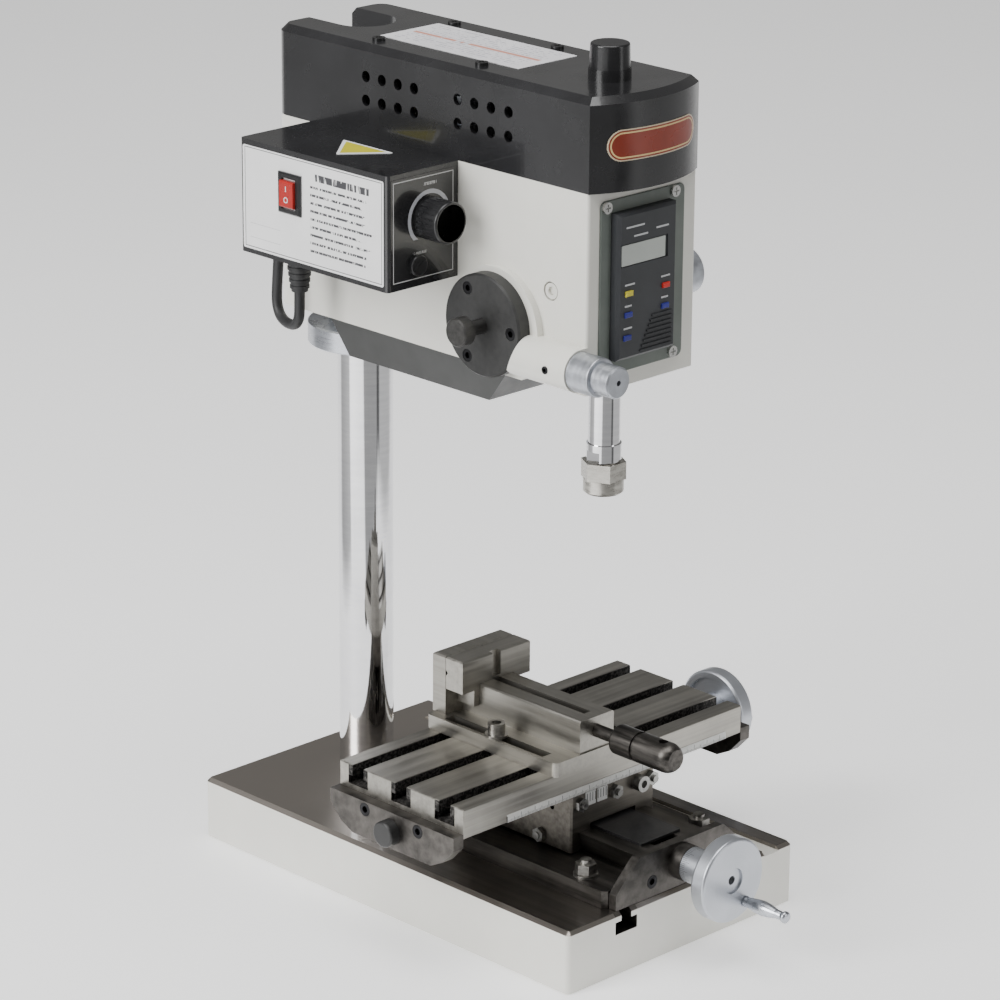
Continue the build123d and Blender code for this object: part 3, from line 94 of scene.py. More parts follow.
class MillScaleSettings(bpy.types.PropertyGroup):
    strip_height: FloatProperty(
        name="Scale height", description="Height of the table's scale strip", default=0.0042, unit="LENGTH"
    )
    dial_marks: IntProperty(name="Dial marks", description="Graduations around each dial", default=60)


class MillStageSettings(bpy.types.PropertyGroup):
    lens: FloatProperty(name="Lens", description="Focal length of the camera", default=151.2)
    floor_size: FloatProperty(name="Floor size", description="Width of the floor", default=14.0, unit="LENGTH")
    glow: FloatProperty(name="Floor glow", description="How brightly the floor shines by itself", default=0.55)


# ---------------------------------------------------------------- shader building
class Surface:
    """One finish while it is being built: its node tree and the sockets that feed the shader."""

    def __init__(self, name):
        self.material = bpy.data.materials.new(name)
        self.material.use_nodes = True
        self.tree = self.material.node_tree
        self.shader = self.tree.nodes["Principled BSDF"]
        self.place = self.tree.nodes.new("ShaderNodeTexCoord").outputs["Object"]
        self.colour = None
        self.rough = None
        self.metal = None

    def calc(self, operation, first, second=0.0, third=0.0):
        node = self.tree.nodes.new("ShaderNodeMath")
        node.operation = operation
        for socket, value in zip(node.inputs, (first, second, third)):
            self.feed(socket, value)
        return node.outputs[0]

    def feed(self, socket, value):
        if isinstance(value, bpy.types.NodeSocket):
            self.tree.links.new(value, socket)
        else:
            socket.default_value = value

    def mix(self, factor, low, high):
        node = self.tree.nodes.new("ShaderNodeMix")
        node.data_type = "RGBA"
        self.feed(node.inputs[0], factor)
        self.feed(node.inputs[6], low if isinstance(low, bpy.types.NodeSocket) else (*low, 1.0))
        self.feed(node.inputs[7], high if isinstance(high, bpy.types.NodeSocket) else (*high, 1.0))
        return node.outputs[2]

    def level(self, factor, low, high):
        return self.calc("ADD", self.calc("MULTIPLY", factor, self.calc("SUBTRACT", high, low)), low)

    def axes(self):
        node = self.tree.nodes.new("ShaderNodeSeparateXYZ")
        self.tree.links.new(self.place, node.inputs[0])
        return node.outputs[0], node.outputs[1], node.outputs[2]

    def noise(self, stretch, detail=3.0, roughness=0.55):
        mapping = self.tree.nodes.new("ShaderNodeMapping")
        self.tree.links.new(self.place, mapping.inputs["Vector"])
        mapping.inputs["Scale"].default_value = stretch
        node = self.tree.nodes.new("ShaderNodeTexNoise")
        node.inputs["Scale"].default_value = 1.0
        node.inputs["Detail"].default_value = detail
        node.inputs["Roughness"].default_value = roughness
        self.tree.links.new(mapping.outputs[0], node.inputs["Vector"])
        return node.outputs["Fac"]

    def contrast(self, value, low, high):
        node = self.tree.nodes.new("ShaderNodeMapRange")
        self.feed(node.inputs["Value"], value)
        node.inputs["From Min"].default_value = low
        node.inputs["From Max"].default_value = high
        return node.outputs[0]

    def inside(self, value, low, high):
        return self.calc("MULTIPLY", self.calc("GREATER_THAN", value, low), self.calc("LESS_THAN", value, high))

    def apart(self, value, middle):
        """How far a value is from a middle, either way."""
        return self.calc("ABSOLUTE", self.calc("SUBTRACT", value, middle))

    def span(self, first, second):
        """The length of the diagonal of two distances."""
        return self.calc("SQRT", self.calc("ADD", self.both(first, first), self.both(second, second)))

    def blend(self, first, share, second):
        """One pattern by its share, and another by the rest."""
        return self.calc("ADD", self.both(first, share), self.both(second, 1 - share))

    def both(self, first, second):
        return self.calc("MULTIPLY", first, second)

    def either(self, first, second):
        return self.calc("MAXIMUM", first, second)

    def over(self, mask, colour, rough=None, metal=None):
        self.colour = self.mix(mask, self.colour, colour)
        if rough is not None:
            self.rough = self.level(mask, self.rough, rough)
        if metal is not None:
            self.metal = self.level(mask, self.metal, metal)

    def bump(self, height, depth, strength=0.5):
        node = self.tree.nodes.new("ShaderNodeBump")
        node.inputs["Strength"].default_value = strength
        node.inputs["Distance"].default_value = depth
        self.tree.links.new(height, node.inputs["Height"])
        previous = self.shader.inputs["Normal"]
        if previous.is_linked:
            self.tree.links.new(previous.links[0].from_socket, node.inputs["Normal"])
        self.tree.links.new(node.outputs[0], self.shader.inputs["Normal"])

    def settle(self):
        self.feed(self.shader.inputs["Base Color"], self.colour)
        self.feed(self.shader.inputs["Roughness"], self.rough)
        self.feed(self.shader.inputs["Metallic"], self.metal)
        return self.material


def coated(name, light, dark, rough, coat, peel=0.00004):
    """Paint or moulded plastic: faint mottling, fine orange peel and a clear coat."""
    skin = Surface(name)
    cloud = skin.noise((22, 22, 22), 4)
    fine = skin.noise((420, 420, 420), 2)
    skin.colour = skin.mix(skin.contrast(cloud, 0.35, 0.65), dark, light)
    skin.rough = skin.level(skin.contrast(skin.noise((60, 60, 60), 3), 0.35, 0.65), rough, rough + 0.1)
    skin.metal = 0.0
    skin.bump(fine, peel, 0.35)
    skin.shader.inputs["Coat Weight"].default_value = coat
    skin.shader.inputs["Coat Roughness"].default_value = 0.06
    return skin


def machined(name, light, dark, rough, stretch, depth=0.00004, metal=1.0):
    """Bare metal with tool marks drawn out along one direction, and patches of oil and handling."""
    skin = Surface(name)
    marks = skin.noise(stretch, 5, 0.6)
    patch = skin.noise((26, 26, 26), 4)
    skin.colour = skin.mix(skin.contrast(skin.blend(marks, 0.55, patch), 0.38, 0.62), dark, light)
    skin.rough = skin.level(skin.contrast(marks, 0.3, 0.7), rough, rough + 0.16)
    skin.metal = metal
    skin.bump(marks, depth, 0.5)
    return skin


def shade(colour, factor):
    return tuple(channel * factor for channel in colour)


def put_on(name, material):
    """Gives a carried-over node its finish, in every slot."""
    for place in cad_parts[name].material_slots:
        place.material = material


def round_axis(skin, centre, along):
    """The angle round an axis, from 0 to 1, and the distance from it, from Object coordinates."""
    x, y, z = skin.axes()
    across = {"X": (y, z), "Y": (x, z), "Z": (x, y)}[along]
    first = skin.calc("SUBTRACT", across[0], centre[0])
    second = skin.calc("SUBTRACT", across[1], centre[1])
    turn = skin.calc("DIVIDE", skin.calc("ARCTAN2", second, first), 2 * math.pi)
    return skin.calc("ADD", turn, 0.5), skin.span(first, second)


def tick(skin, value, count, width):
    """1 on each of count marks spaced evenly along a value from 0 to 1."""
    part = skin.calc("FRACT", skin.calc("MULTIPLY", value, count))
    return skin.calc("LESS_THAN", part, width)


def ground_steel(name, stretch):
    tone = bpy.context.scene.mill_finish.steel
    return machined(name, shade(tone, 1.15), shade(tone, 0.74), 0.30, stretch)


class MILL_OT_finishes(bpy.types.Operator):
    """Gives every carried-over metal, painted and moulded piece its finish"""

    bl_idname = "mill.finishes"
    bl_label = "Finishes"

    def execute(self, context):
        tones = context.scene.mill_finish
        enamel = tuple(tones.enamel)
        black = tuple(tones.black)
        iron = tuple(tones.iron)
        satin = tuple(tones.satin)

        def dress(names, skin):
            material = skin.settle()
            for name in names:
                put_on(name, material)

        # Enamel: the head, and the base with its machined top and dark T-slots
        dress(["head_casting"], coated("cream_enamel", enamel, shade(enamel, 0.95), 0.28, 0.35))
        base = coated("base_enamel", enamel, shade(enamel, 0.95), 0.28, 0.35)
        low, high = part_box("base_casting")
        x, y, z = base.axes()
        marks = base.noise((260, 7, 260), 5, 0.6)
        patch = base.noise((18, 18, 18), 4)
        tone = base.mix(base.contrast(base.blend(marks, 0.5, patch), 0.38, 0.62), shade(iron, 0.75), shade(iron, 1.35))
        # the bare top is mixed lighter towards the back, with a ragged edge
        lighter_to_back = base.contrast(base.calc("ADD", y, base.calc("MULTIPLY", patch, 0.06)), -0.02, 0.11)
        tone = base.mix(lighter_to_back, tone, shade(iron, 2.6))
        cut = high.z - MACHINED_DEPTH
        top = base.calc("GREATER_THAN", z, cut)
        slot_side = base.apart(base.calc("ABSOLUTE", x), BASE_SLOT_X)
        within = base.both(base.calc("LESS_THAN", slot_side, 0.0082), base.calc("GREATER_THAN", z, high.z - 0.0125))
        within = base.both(within, base.inside(y, low.y + 0.0002, high.y - 0.0002))
        base.over(base.either(top, within), tone, 0.36, 1.0)
        edge = base.both(base.inside(z, cut, high.z - 0.0002), base.calc("GREATER_THAN", 1.0, within))
        rim = base.calc("GREATER_THAN", base.calc("ABSOLUTE", y), high.y - 0.0022)
        base.over(base.both(edge, rim), shade(iron, 2.2), 0.3, 1.0)
        dress(["base_casting"], base)

        # Black cover, box and belly
        dress(["top_cover", "control_box"], coated("gloss_black", shade(black, 1.6), black, 0.2, 0.6))
        dress(["motor_cover"], coated("belly_black", (0.03, 0.031, 0.03), (0.02, 0.021, 0.02), 0.38, 0.1))
        moulded = coated("moulded_black", (0.018, 0.018, 0.019), (0.01, 0.01, 0.011), 0.22, 0.2)
        dress(["spindle_cap", "fuse_holder", "rocker_bezel"], moulded)
        dress(["motor"], coated("motor_paint", (0.03, 0.03, 0.03), (0.02, 0.02, 0.02), 0.4, 0.1))
        dress(["drive_belt"], coated("belt_rubber", (0.02, 0.02, 0.02), (0.012, 0.012, 0.012), 0.7, 0.0, 0.0002))
        dress(["cable_glands"], coated("gland_rubber", (0.03, 0.03, 0.031), (0.02, 0.02, 0.021), 0.5, 0.0, 0.0001))
        dress(["way_cover"], coated("way_cover_black", (0.02, 0.02, 0.021), (0.008, 0.008, 0.009), 0.32, 0.2, 0.0002))
        dress(["screw_end_cap"], coated("end_cap_black", (0.02, 0.02, 0.02), (0.012, 0.012, 0.012), 0.4, 0.1))
        dress(["lock_handle"], coated("lock_black", (0.02, 0.02, 0.02), (0.012, 0.012, 0.012), 0.3, 0.3))

        # Chrome, satin and blackened turned parts
        chrome = machined("chrome", (0.86, 0.86, 0.87), (0.74, 0.74, 0.76), 0.035, (60, 60, 500), 0.000004)
        chrome.rough = 0.06
        dress(["column", "quill", "spindle", "spindle_bearings"], chrome)
        dress(["depth_collar"], machined("collar_metal", shade(satin, 1.15), shade(satin, 0.92), 0.2, (90, 90, 700)))
        dress(["collet_nut"], machined("nut_plating", (0.62, 0.6, 0.55), (0.4, 0.385, 0.35), 0.22, (150, 150, 500)))
        zinc = machined("zinc_plating", (0.5, 0.49, 0.46), (0.2, 0.19, 0.18), 0.26, (200, 200, 400))
        dress(["base_bolts", "vise_bolts"], zinc)
        dress(["gib_screws"], machined("small_nuts", (0.5, 0.5, 0.48), (0.16, 0.155, 0.15), 0.28, (300, 300, 300)))
        bright = machined("bright_screws", (0.72, 0.72, 0.7), (0.52, 0.52, 0.5), 0.2, (300, 300, 300))
        x, y, z = bright.axes()
        bright.over(bright.calc("GREATER_THAN", z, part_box("top_cover")[0].z + 0.03), (0.03, 0.03, 0.031), 0.3, 0.6)
        dress(["cross_head_screws"], bright)
        screw_black = machined("black_oxide", (0.045, 0.045, 0.048), (0.018, 0.018, 0.019), 0.3, (200, 200, 200))
        dress(["bracket_screws", "front_bracket_screws"], screw_black)
        socket = machined("socket_screws", (0.045, 0.045, 0.048), (0.018, 0.018, 0.019), 0.3, (200, 200, 200))
        x, y, z = socket.axes()
        painted = socket.both(socket.calc("GREATER_THAN", z, LOCK_SCREW_Z), socket.calc("LESS_THAN", y, LOCK_SCREW_Y))
        socket.over(painted, shade(enamel, 0.92), 0.3, 0.0)
        dress(["head_socket_screws"], socket)
        blued = machined("blued_steel", (0.085, 0.083, 0.08), (0.05, 0.049, 0.047), 0.34, (60, 400, 400), metal=0.7)
        dress(["pinion_shaft", "worm_gear"], blued)
        cap = machined("blackened_cap", (0.05, 0.05, 0.049), (0.036, 0.036, 0.036), 0.4, (300, 300, 300), 0.00003, 0.5)
        dress(["feed_housing_cap"], cap)
        alloy = machined("satin_aluminium", shade(satin, 1.1), shade(satin, 0.85), 0.32, (200, 500, 200), 0.00002, 0.9)
        dress(["feed_lever", "fine_feed_knob", "spindle_pulley", "motor_pulley"], alloy)

        # Table, vise, saddle and their screws
        table = ground_steel("table_steel", (6, 320, 320))
        low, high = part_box("table")
        x, y, z = table.axes()
        centre = (low.y + high.y) / 2
        slots = None
        for step in (-1, 0, 1):
            strip = table.calc("LESS_THAN", table.apart(y, centre + step * TABLE_SLOT_STEP), TABLE_SLOT_HALF)
            slots = strip if slots is None else table.either(slots, strip)
        # painted shade: the T-slots' walls and floors are painted near black where shade falls, flecked with lighter
        # specks
        slots = table.both(slots, table.inside(z, 0.0832, high.z - 0.0004))
        chips = table.contrast(table.noise((700, 700, 700), 3), 0.45, 0.6)
        table.over(slots, table.mix(chips, (0.012, 0.011, 0.01), (0.09, 0.085, 0.08)), 0.55, 0.6)
        dress(["table"], table)
        dress(["vise_body"], ground_steel("vise_steel", (300, 10, 300)))
        dress(["moving_jaw"], ground_steel("jaw_steel", (12, 300, 300)))
        saddle = machined("saddle_steel", (0.23, 0.215, 0.19), (0.12, 0.11, 0.098), 0.32, (12, 320, 320))
        dress(["saddle", "gib_strips"], saddle)
        dress(["x_screw", "y_screw", "feed_nuts"], ground_steel("screw_steel", (200, 200, 200)))
        dark = machined("dark_iron", (0.16, 0.15, 0.138), (0.055, 0.051, 0.047), 0.33, (260, 14, 260))
        dress(["cross_slide_base"], dark)
        bracket = machined("dark_bracket", (0.15, 0.14, 0.13), (0.06, 0.056, 0.052), 0.34, (160, 160, 160), 0.00006)
        dress(["front_bracket", "table_end_brackets"], bracket)
        dress(["vise_screw"], machined("dark_knob", (0.14, 0.13, 0.12), (0.04, 0.038, 0.035), 0.3, (400, 30, 400)))

        # Small controls
        dress(["gauge_frame"], coated("gauge_frame_green", (0.19, 0.21, 0.19), (0.13, 0.15, 0.135), 0.4, 0.05, 0.00008))
        gauge = coated("gauge_charcoal", (0.045, 0.048, 0.052), (0.032, 0.034, 0.038), 0.42, 0.05, 0.00006)
        dress(["gauge_body"], gauge)
        dress(["rocker"], coated("rocker_red", (0.42, 0.02, 0.015), (0.28, 0.012, 0.01), 0.25, 0.4))
        dress(["button_yellow"], coated("button_yellow", (0.75, 0.66, 0.06), (0.6, 0.52, 0.04), 0.4, 0.1))
        dress(["button_red"], coated("button_red", (0.7, 0.03, 0.02), (0.5, 0.02, 0.015), 0.4, 0.1))
        blues = ["button_blue_right", "button_blue_left", "button_blue_low"]
        dress(blues, coated("button_blue", (0.03, 0.035, 0.3), (0.02, 0.022, 0.2), 0.4, 0.1))
        return {"FINISHED"}


class MILL_OT_dials(bpy.types.Operator):
    """Satin handwheels with engraved dials"""

    bl_idname = "mill.dials"
    bl_label = "Handwheels and dials"

    def execute(self, context):
        satin = tuple(context.scene.mill_finish.satin)
        count = context.scene.mill_scale.dial_marks
        front_low, front_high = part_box("y_handwheel")
        side_low, side_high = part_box("x_handwheel")
        front, side = (front_low + front_high) / 2, (side_low + side_high) / 2
        wheels = [
            ("y_handwheel", "Y", (front.x, front.z), front_high.y, -1),
            ("x_handwheel", "X", (side.y, side.z), side_low.x, 1),
        ]
        for name, along, centre, start, way in wheels:
            skin = Surface(name + "_satin")
            turn, reach = round_axis(skin, centre, along)
            rings = skin.tree.nodes.new("ShaderNodeTexNoise")
            rings.noise_dimensions = "1D"
            rings.inputs["Scale"].default_value = 2600.0
            rings.inputs["Detail"].default_value = 3.0
            skin.tree.links.new(reach, rings.inputs["W"])
            ring = rings.outputs["Fac"]
            cloud = skin.noise((40, 40, 40), 4)
            tone = skin.contrast(skin.blend(ring, 0.4, cloud), 0.35, 0.65)
            skin.colour = skin.mix(tone, shade(satin, 0.9), shade(satin, 1.12))
            skin.rough = skin.level(ring, 0.26, 0.42)
            skin.metal = 0.85
            skin.bump(ring, 0.00002, 0.3)
            x, y, z = skin.axes()
            run = skin.calc("MULTIPLY", skin.calc("SUBTRACT", x if along == "X" else y, start), way)
            short = skin.both(tick(skin, turn, count, 0.16), skin.inside(run, 0.0002, 0.0032))
            long = skin.both(tick(skin, turn, count / 5, 0.032), skin.inside(run, 0.0002, 0.0055))
            marks = skin.both(skin.either(short, long), skin.inside(reach, 0.0088, 0.0102))
            skin.over(marks, (0.02, 0.02, 0.022), 0.5, 0.0)
            put_on(name, skin.settle())
        return {"FINISHED"}


# ---------------------------------------------------------------- mesh helpers
def finished(name, mesh, material, body, smooth=True):
    """Makes an object from a bmesh, with its finish, body and material slot."""
    data = bpy.data.meshes.new(name)
    bmesh.ops.recalc_face_normals(mesh, faces=mesh.faces)
    mesh.to_mesh(data)
    mesh.free()
    data.materials.append(material)
    piece = bpy.data.objects.new(name, data)
    bpy.context.scene.collection.objects.link(piece)
    if smooth:
        for face in data.polygons:
            face.use_smooth = True
    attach(piece, body)
    return piece


def slab(low, high, corner=0.0, segments=4, edge_axis=0):
    """A thin plate between two corners, its outline's corners rounded about one axis."""
    mesh = bmesh.new()
    bmesh.ops.create_cube(mesh, size=1.0)
    size = Vector(high) - Vector(low)
    centre = (Vector(high) + Vector(low)) / 2
    bmesh.ops.scale(mesh, vec=size, verts=mesh.verts)
    bmesh.ops.translate(mesh, vec=centre, verts=mesh.verts)
    if corner > 0:
        edges = [e for e in mesh.edges if abs((e.verts[0].co - e.verts[1].co).normalized()[edge_axis]) > 0.9]
        bmesh.ops.bevel(mesh, geom=edges, offset=corner, segments=segments, affect="EDGES", profile=0.5, material=-1)
    return mesh


def turned(profile, origin, direction):
    """A solid turned from (radius, distance) pairs about an axis from a point."""
    mesh = bmesh.new()
    verts = [mesh.verts.new((radius, 0, along)) for radius, along in profile]
    edges = [mesh.edges.new(pair) for pair in zip(verts, verts[1:])]
    bmesh.ops.spin(
        mesh,
        geom=verts + edges,
        cent=(0, 0, 0),
        axis=(0, 0, 1),
        angle=2 * math.pi,
        steps=48,
        use_merge=True,
    )
    bmesh.ops.remove_doubles(mesh, verts=mesh.verts, dist=1e-6)
    turn = Vector(direction).to_track_quat("Z", "Y").to_matrix().to_4x4()
    bmesh.ops.transform(mesh, matrix=Matrix.Translation(Vector(origin)) @ turn, verts=mesh.verts)
    return mesh


HANDLE = [
    (0, 0.0003), (0.0026, 0.0003), (0.0030, 0.0009), (0.0026, 0.0017), (0.0028, 0.0031), (0.0035, 0.0067),
    (0.0039, 0.0102), (0.0040, 0.0129), (0.0037, 0.0160), (0.0031, 0.0191), (0.0026, 0.0212), (0.0024, 0.0223),
    (0.0024, 0.0243), (0.0021, 0.0251), (0.0021, 0.0260), (0.0030, 0.0267), (0.0032, 0.0274), (0.0030, 0.0286),
    (0.0022, 0.0291), (0, 0.0293),
]


class MILL_OT_handles(bpy.types.Operator):
    """Turned crank handles on both handwheels"""

    bl_idname = "mill.handles"
    bl_label = "Crank handles"

    def execute(self, context):
        satin = tuple(context.scene.mill_finish.satin)
        finish = machined("handle_metal", shade(satin, 1.2), shade(satin, 0.9), 0.2, (300, 300, 300), 0.00001).settle()
        low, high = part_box("y_handle")
        root = ((low.x + high.x) / 2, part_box("y_handwheel")[0].y, (low.z + high.z) / 2)
        piece = finished("y_crank_handle", turned(HANDLE, root, (0, -1, 0)), finish, "y_crank")
        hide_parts("y_handle")
        low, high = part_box("x_handle")
        root = (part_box("x_handwheel")[1].x, (low.y + high.y) / 2, (low.z + high.z) / 2)
        piece = finished("x_crank_handle", turned(HANDLE, root, (1, 0, 0)), finish, "x_crank")
        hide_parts("x_handle")
        return {"FINISHED"}


class MILL_OT_plates(bpy.types.Operator):
    """Blank data plate, speed panel, plain triangle and cover label"""

    bl_idname = "mill.plates"
    bl_label = "Plates and labels"

    def execute(self, context):
        thick = context.scene.mill_plate.thickness
        low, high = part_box("control_box")
        face = low.x

        # Data plate: white, with a thin border line, ruled grey lines and the switch's window
        skin = coated("data_plate_white", (0.86, 0.86, 0.86), (0.8, 0.8, 0.8), 0.3, 0.2, 0.00002)
        x, y, z = skin.axes()
        off_y = skin.apart(y, (low.y + high.y) / 2)
        off_z = skin.apart(z, (low.z + high.z) / 2)
        outer = skin.both(skin.calc("LESS_THAN", off_y, 0.0519), skin.calc("LESS_THAN", off_z, 0.0265))
        inner = skin.both(skin.calc("LESS_THAN", off_y, 0.0515), skin.calc("LESS_THAN", off_z, 0.0261))
        border = skin.calc("SUBTRACT", outer, inner)
        rows = skin.calc("FRACT", skin.calc("DIVIDE", skin.calc("SUBTRACT", z, 0.3505), 0.0042))
        rule = skin.both(skin.inside(rows, 0.0, 0.3), skin.inside(z, 0.3545, 0.3895))
        ends = skin.noise((0.01, 0.01, 240), 0)
        rule = skin.both(rule, skin.inside(y, -0.002, 0.047))
        words = skin.calc("GREATER_THAN", skin.noise((1, 900, 240), 2), 0.44)
        rule = skin.both(rule, words)
        right_end = skin.calc("ADD", -0.012, skin.calc("MULTIPLY", ends, 0.034))
        rule = skin.both(rule, skin.calc("GREATER_THAN", y, right_end))
        title = skin.both(skin.inside(z, 0.3925, 0.3962), skin.inside(y, 0.003, 0.0445))
        title = skin.both(title, skin.calc("GREATER_THAN", skin.noise((1, 620, 60), 2), 0.42))
        boxes = skin.either(
            skin.both(skin.inside(z, 0.3610, 0.3613), skin.inside(y, 0.070, 0.0935)),
            skin.both(skin.inside(z, 0.3535, 0.3538), skin.inside(y, 0.070, 0.0935)),
        )
        skin.over(skin.either(skin.either(border, rule), title), (0.05, 0.05, 0.055))
        skin.over(boxes, (0.55, 0.55, 0.56))
        finished(
            "data_plate",
            slab((face - thick, low.y + 0.0028, low.z + 0.0026), (face, high.y - 0.0024, high.z - 0.003), 0.0012),
            skin.settle(),
            "head",
            False,
        )

        # Speed panel on the box's front with a pale outline, an open ring round the knob, and two short legends
        skin = coated("speed_panel_black", (0.02, 0.02, 0.021), (0.012, 0.012, 0.013), 0.16, 0.6, 0.00001)
        knob_low, knob_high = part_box("speed_knob")
        centre = ((knob_low.x + knob_high.x) / 2, (knob_low.z + knob_high.z) / 2)
        reach = round_axis(skin, centre, "Y")[1]
        x, y, z = skin.axes()
        left, right, bottom, top = low.x + 0.0035, high.x - 0.0035, low.z + 0.004, high.z - 0.004
        outer = skin.both(skin.inside(x, left, right), skin.inside(z, bottom, top))
        inner = skin.both(skin.inside(x, left + 0.0005, right - 0.0005), skin.inside(z, bottom + 0.0005, top - 0.0005))
        skin.over(skin.calc("SUBTRACT", outer, inner), (0.62, 0.62, 0.62))
        above = skin.calc("SUBTRACT", z, centre[1])
        aside = skin.calc("SUBTRACT", x, centre[0])
        ring = skin.both(skin.inside(reach, 0.0126, 0.0148), skin.calc("GREATER_THAN", above, -0.010))
        skin.over(ring, (0.55, 0.56, 0.6))
        upper = skin.both(skin.inside(above, 0.0172, 0.0188), skin.inside(aside, -0.004, 0.005))
        lower = skin.both(skin.inside(above, -0.0178, -0.0164), skin.inside(aside, -0.0115, -0.002))
        legends = skin.both(skin.either(upper, lower), skin.calc("GREATER_THAN", skin.noise((900, 1, 300), 1), 0.45))
        skin.over(legends, (0.5, 0.5, 0.5))
        finished(
            "speed_panel",
            slab((low.x + 0.002, low.y - thick, low.z + 0.003), (high.x - 0.0015, low.y, high.z - 0.0025), 0.001, 3, 1),
            skin.settle(),
            "head",
            False,
        )

        # Plain yellow triangle with a white edge on top of the box
        mesh = bmesh.new()
        spot = Vector((-0.0635, 0.041, high.z))
        corners = [Vector((0.0105, 0.019, 0)), Vector((-0.0125, -0.0005, 0)), Vector((0.0105, -0.019, 0))]
        verts = [mesh.verts.new(spot + corner) for corner in corners]
        mesh.faces.new(verts)
        bmesh.ops.bevel(
            mesh, geom=list(mesh.verts), offset=0.0015, segments=3, affect="VERTICES", profile=0.5, material=-1
        )
        grown = bmesh.ops.extrude_face_region(mesh, geom=list(mesh.faces))
        lifted = [part for part in grown["geom"] if isinstance(part, bmesh.types.BMVert)]
        bmesh.ops.translate(mesh, vec=(0, 0, thick), verts=lifted)
        skin = coated("tag_yellow", (0.62, 0.56, 0.03), (0.5, 0.45, 0.02), 0.35, 0.2, 0.00002)
        x, y, z = skin.axes()
        run = skin.calc("SUBTRACT", 0.0105, skin.calc("SUBTRACT", x, spot.x))
        wide = skin.calc("MULTIPLY", skin.calc("SUBTRACT", 0.023, run), 0.82)
        side = skin.calc("SUBTRACT", wide, skin.apart(y, spot.y))
        rim = skin.either(skin.calc("LESS_THAN", side, 0.0024), skin.calc("LESS_THAN", run, 0.0016))
        skin.over(rim, (0.8, 0.8, 0.8))
        finished("box_tag", mesh, skin.settle(), "head", False)

        # White label on the cover's top
        cover_low, cover_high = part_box("top_cover")
        skin = coated("cover_label_white", (0.8, 0.79, 0.81), (0.72, 0.71, 0.73), 0.35, 0.15, 0.00002)
        x, y, z = skin.axes()
        rows = tick(skin, skin.calc("MULTIPLY", x, 100.0), 3.4, 0.3)
        print_area = skin.both(skin.inside(y, -0.029, 0.063), skin.inside(x, -0.017, 0.019))
        marks = skin.both(rows, skin.calc("GREATER_THAN", skin.noise((260, 420, 1), 2), 0.5))
        skin.over(skin.both(marks, print_area), (0.4, 0.4, 0.45))
        band = skin.both(skin.inside(x, -0.0012, 0.0016), print_area)
        skin.over(skin.both(band, skin.calc("GREATER_THAN", skin.noise((1, 90, 1), 1), 0.4)), (0.62, 0.27, 0.2))
        finished(
            "cover_label",
            slab((-0.020, -0.0345, cover_high.z), (0.022, 0.068, cover_high.z + thick), 0.0008, 2, 2),
            skin.settle(),
            "head",
            False,
        )
        return {"FINISHED"}


class MILL_OT_badge(bpy.types.Operator):
    """A plain badge that follows the cover's curved front"""

    bl_idname = "mill.badge"
    bl_label = "Badge"

    def execute(self, context):
        sizes = context.scene.mill_plate
        low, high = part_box("top_cover")
        half = (high.x - low.x) / 2
        radius = (half * half + COVER_BULGE * COVER_BULGE) / (2 * COVER_BULGE)
        middle_y = low.y + radius
        middle_z = low.z + 0.0235
        mesh = bmesh.new()
        bmesh.ops.create_grid(mesh, x_segments=160, y_segments=64, size=0.5)
        wide, tall = sizes.badge_width, sizes.badge_height
        for vert in mesh.verts:
            across, up = vert.co.x * wide, vert.co.y * tall
            vert.co = Vector((across, middle_y - math.sqrt((radius + 0.0002) ** 2 - across * across), middle_z + up))
        round_end = tall / 2
        doomed = []
        for face in mesh.faces:
            centre = face.calc_center_median()
            over = abs(centre.x) - (wide / 2 - round_end)
            if over > 0 and math.hypot(over, centre.z - middle_z) > round_end:
                doomed.append(face)
        bmesh.ops.delete(mesh, geom=doomed, context="FACES")
        skin = coated("badge_enamel", (0.3, 0.035, 0.012), (0.2, 0.022, 0.008), 0.25, 0.5, 0.00001)
        x, y, z = skin.axes()
        up = skin.apart(z, middle_z)
        over = skin.calc("MAXIMUM", skin.calc("SUBTRACT", skin.calc("ABSOLUTE", x), wide / 2 - round_end), 0.0)
        reach = skin.span(over, up)
        skin.over(skin.inside(reach, round_end - 0.0022, round_end - 0.0014), (0.75, 0.55, 0.25))
        skin.over(skin.calc("GREATER_THAN", reach, round_end - 0.0006), (0.6, 0.5, 0.35))
        piece = finished("front_badge", mesh, skin.settle(), "head")
        solid = piece.modifiers.new("Solidify", "SOLIDIFY")
        solid.thickness = 0.0002
        solid.offset = 1.0
        return {"FINISHED"}


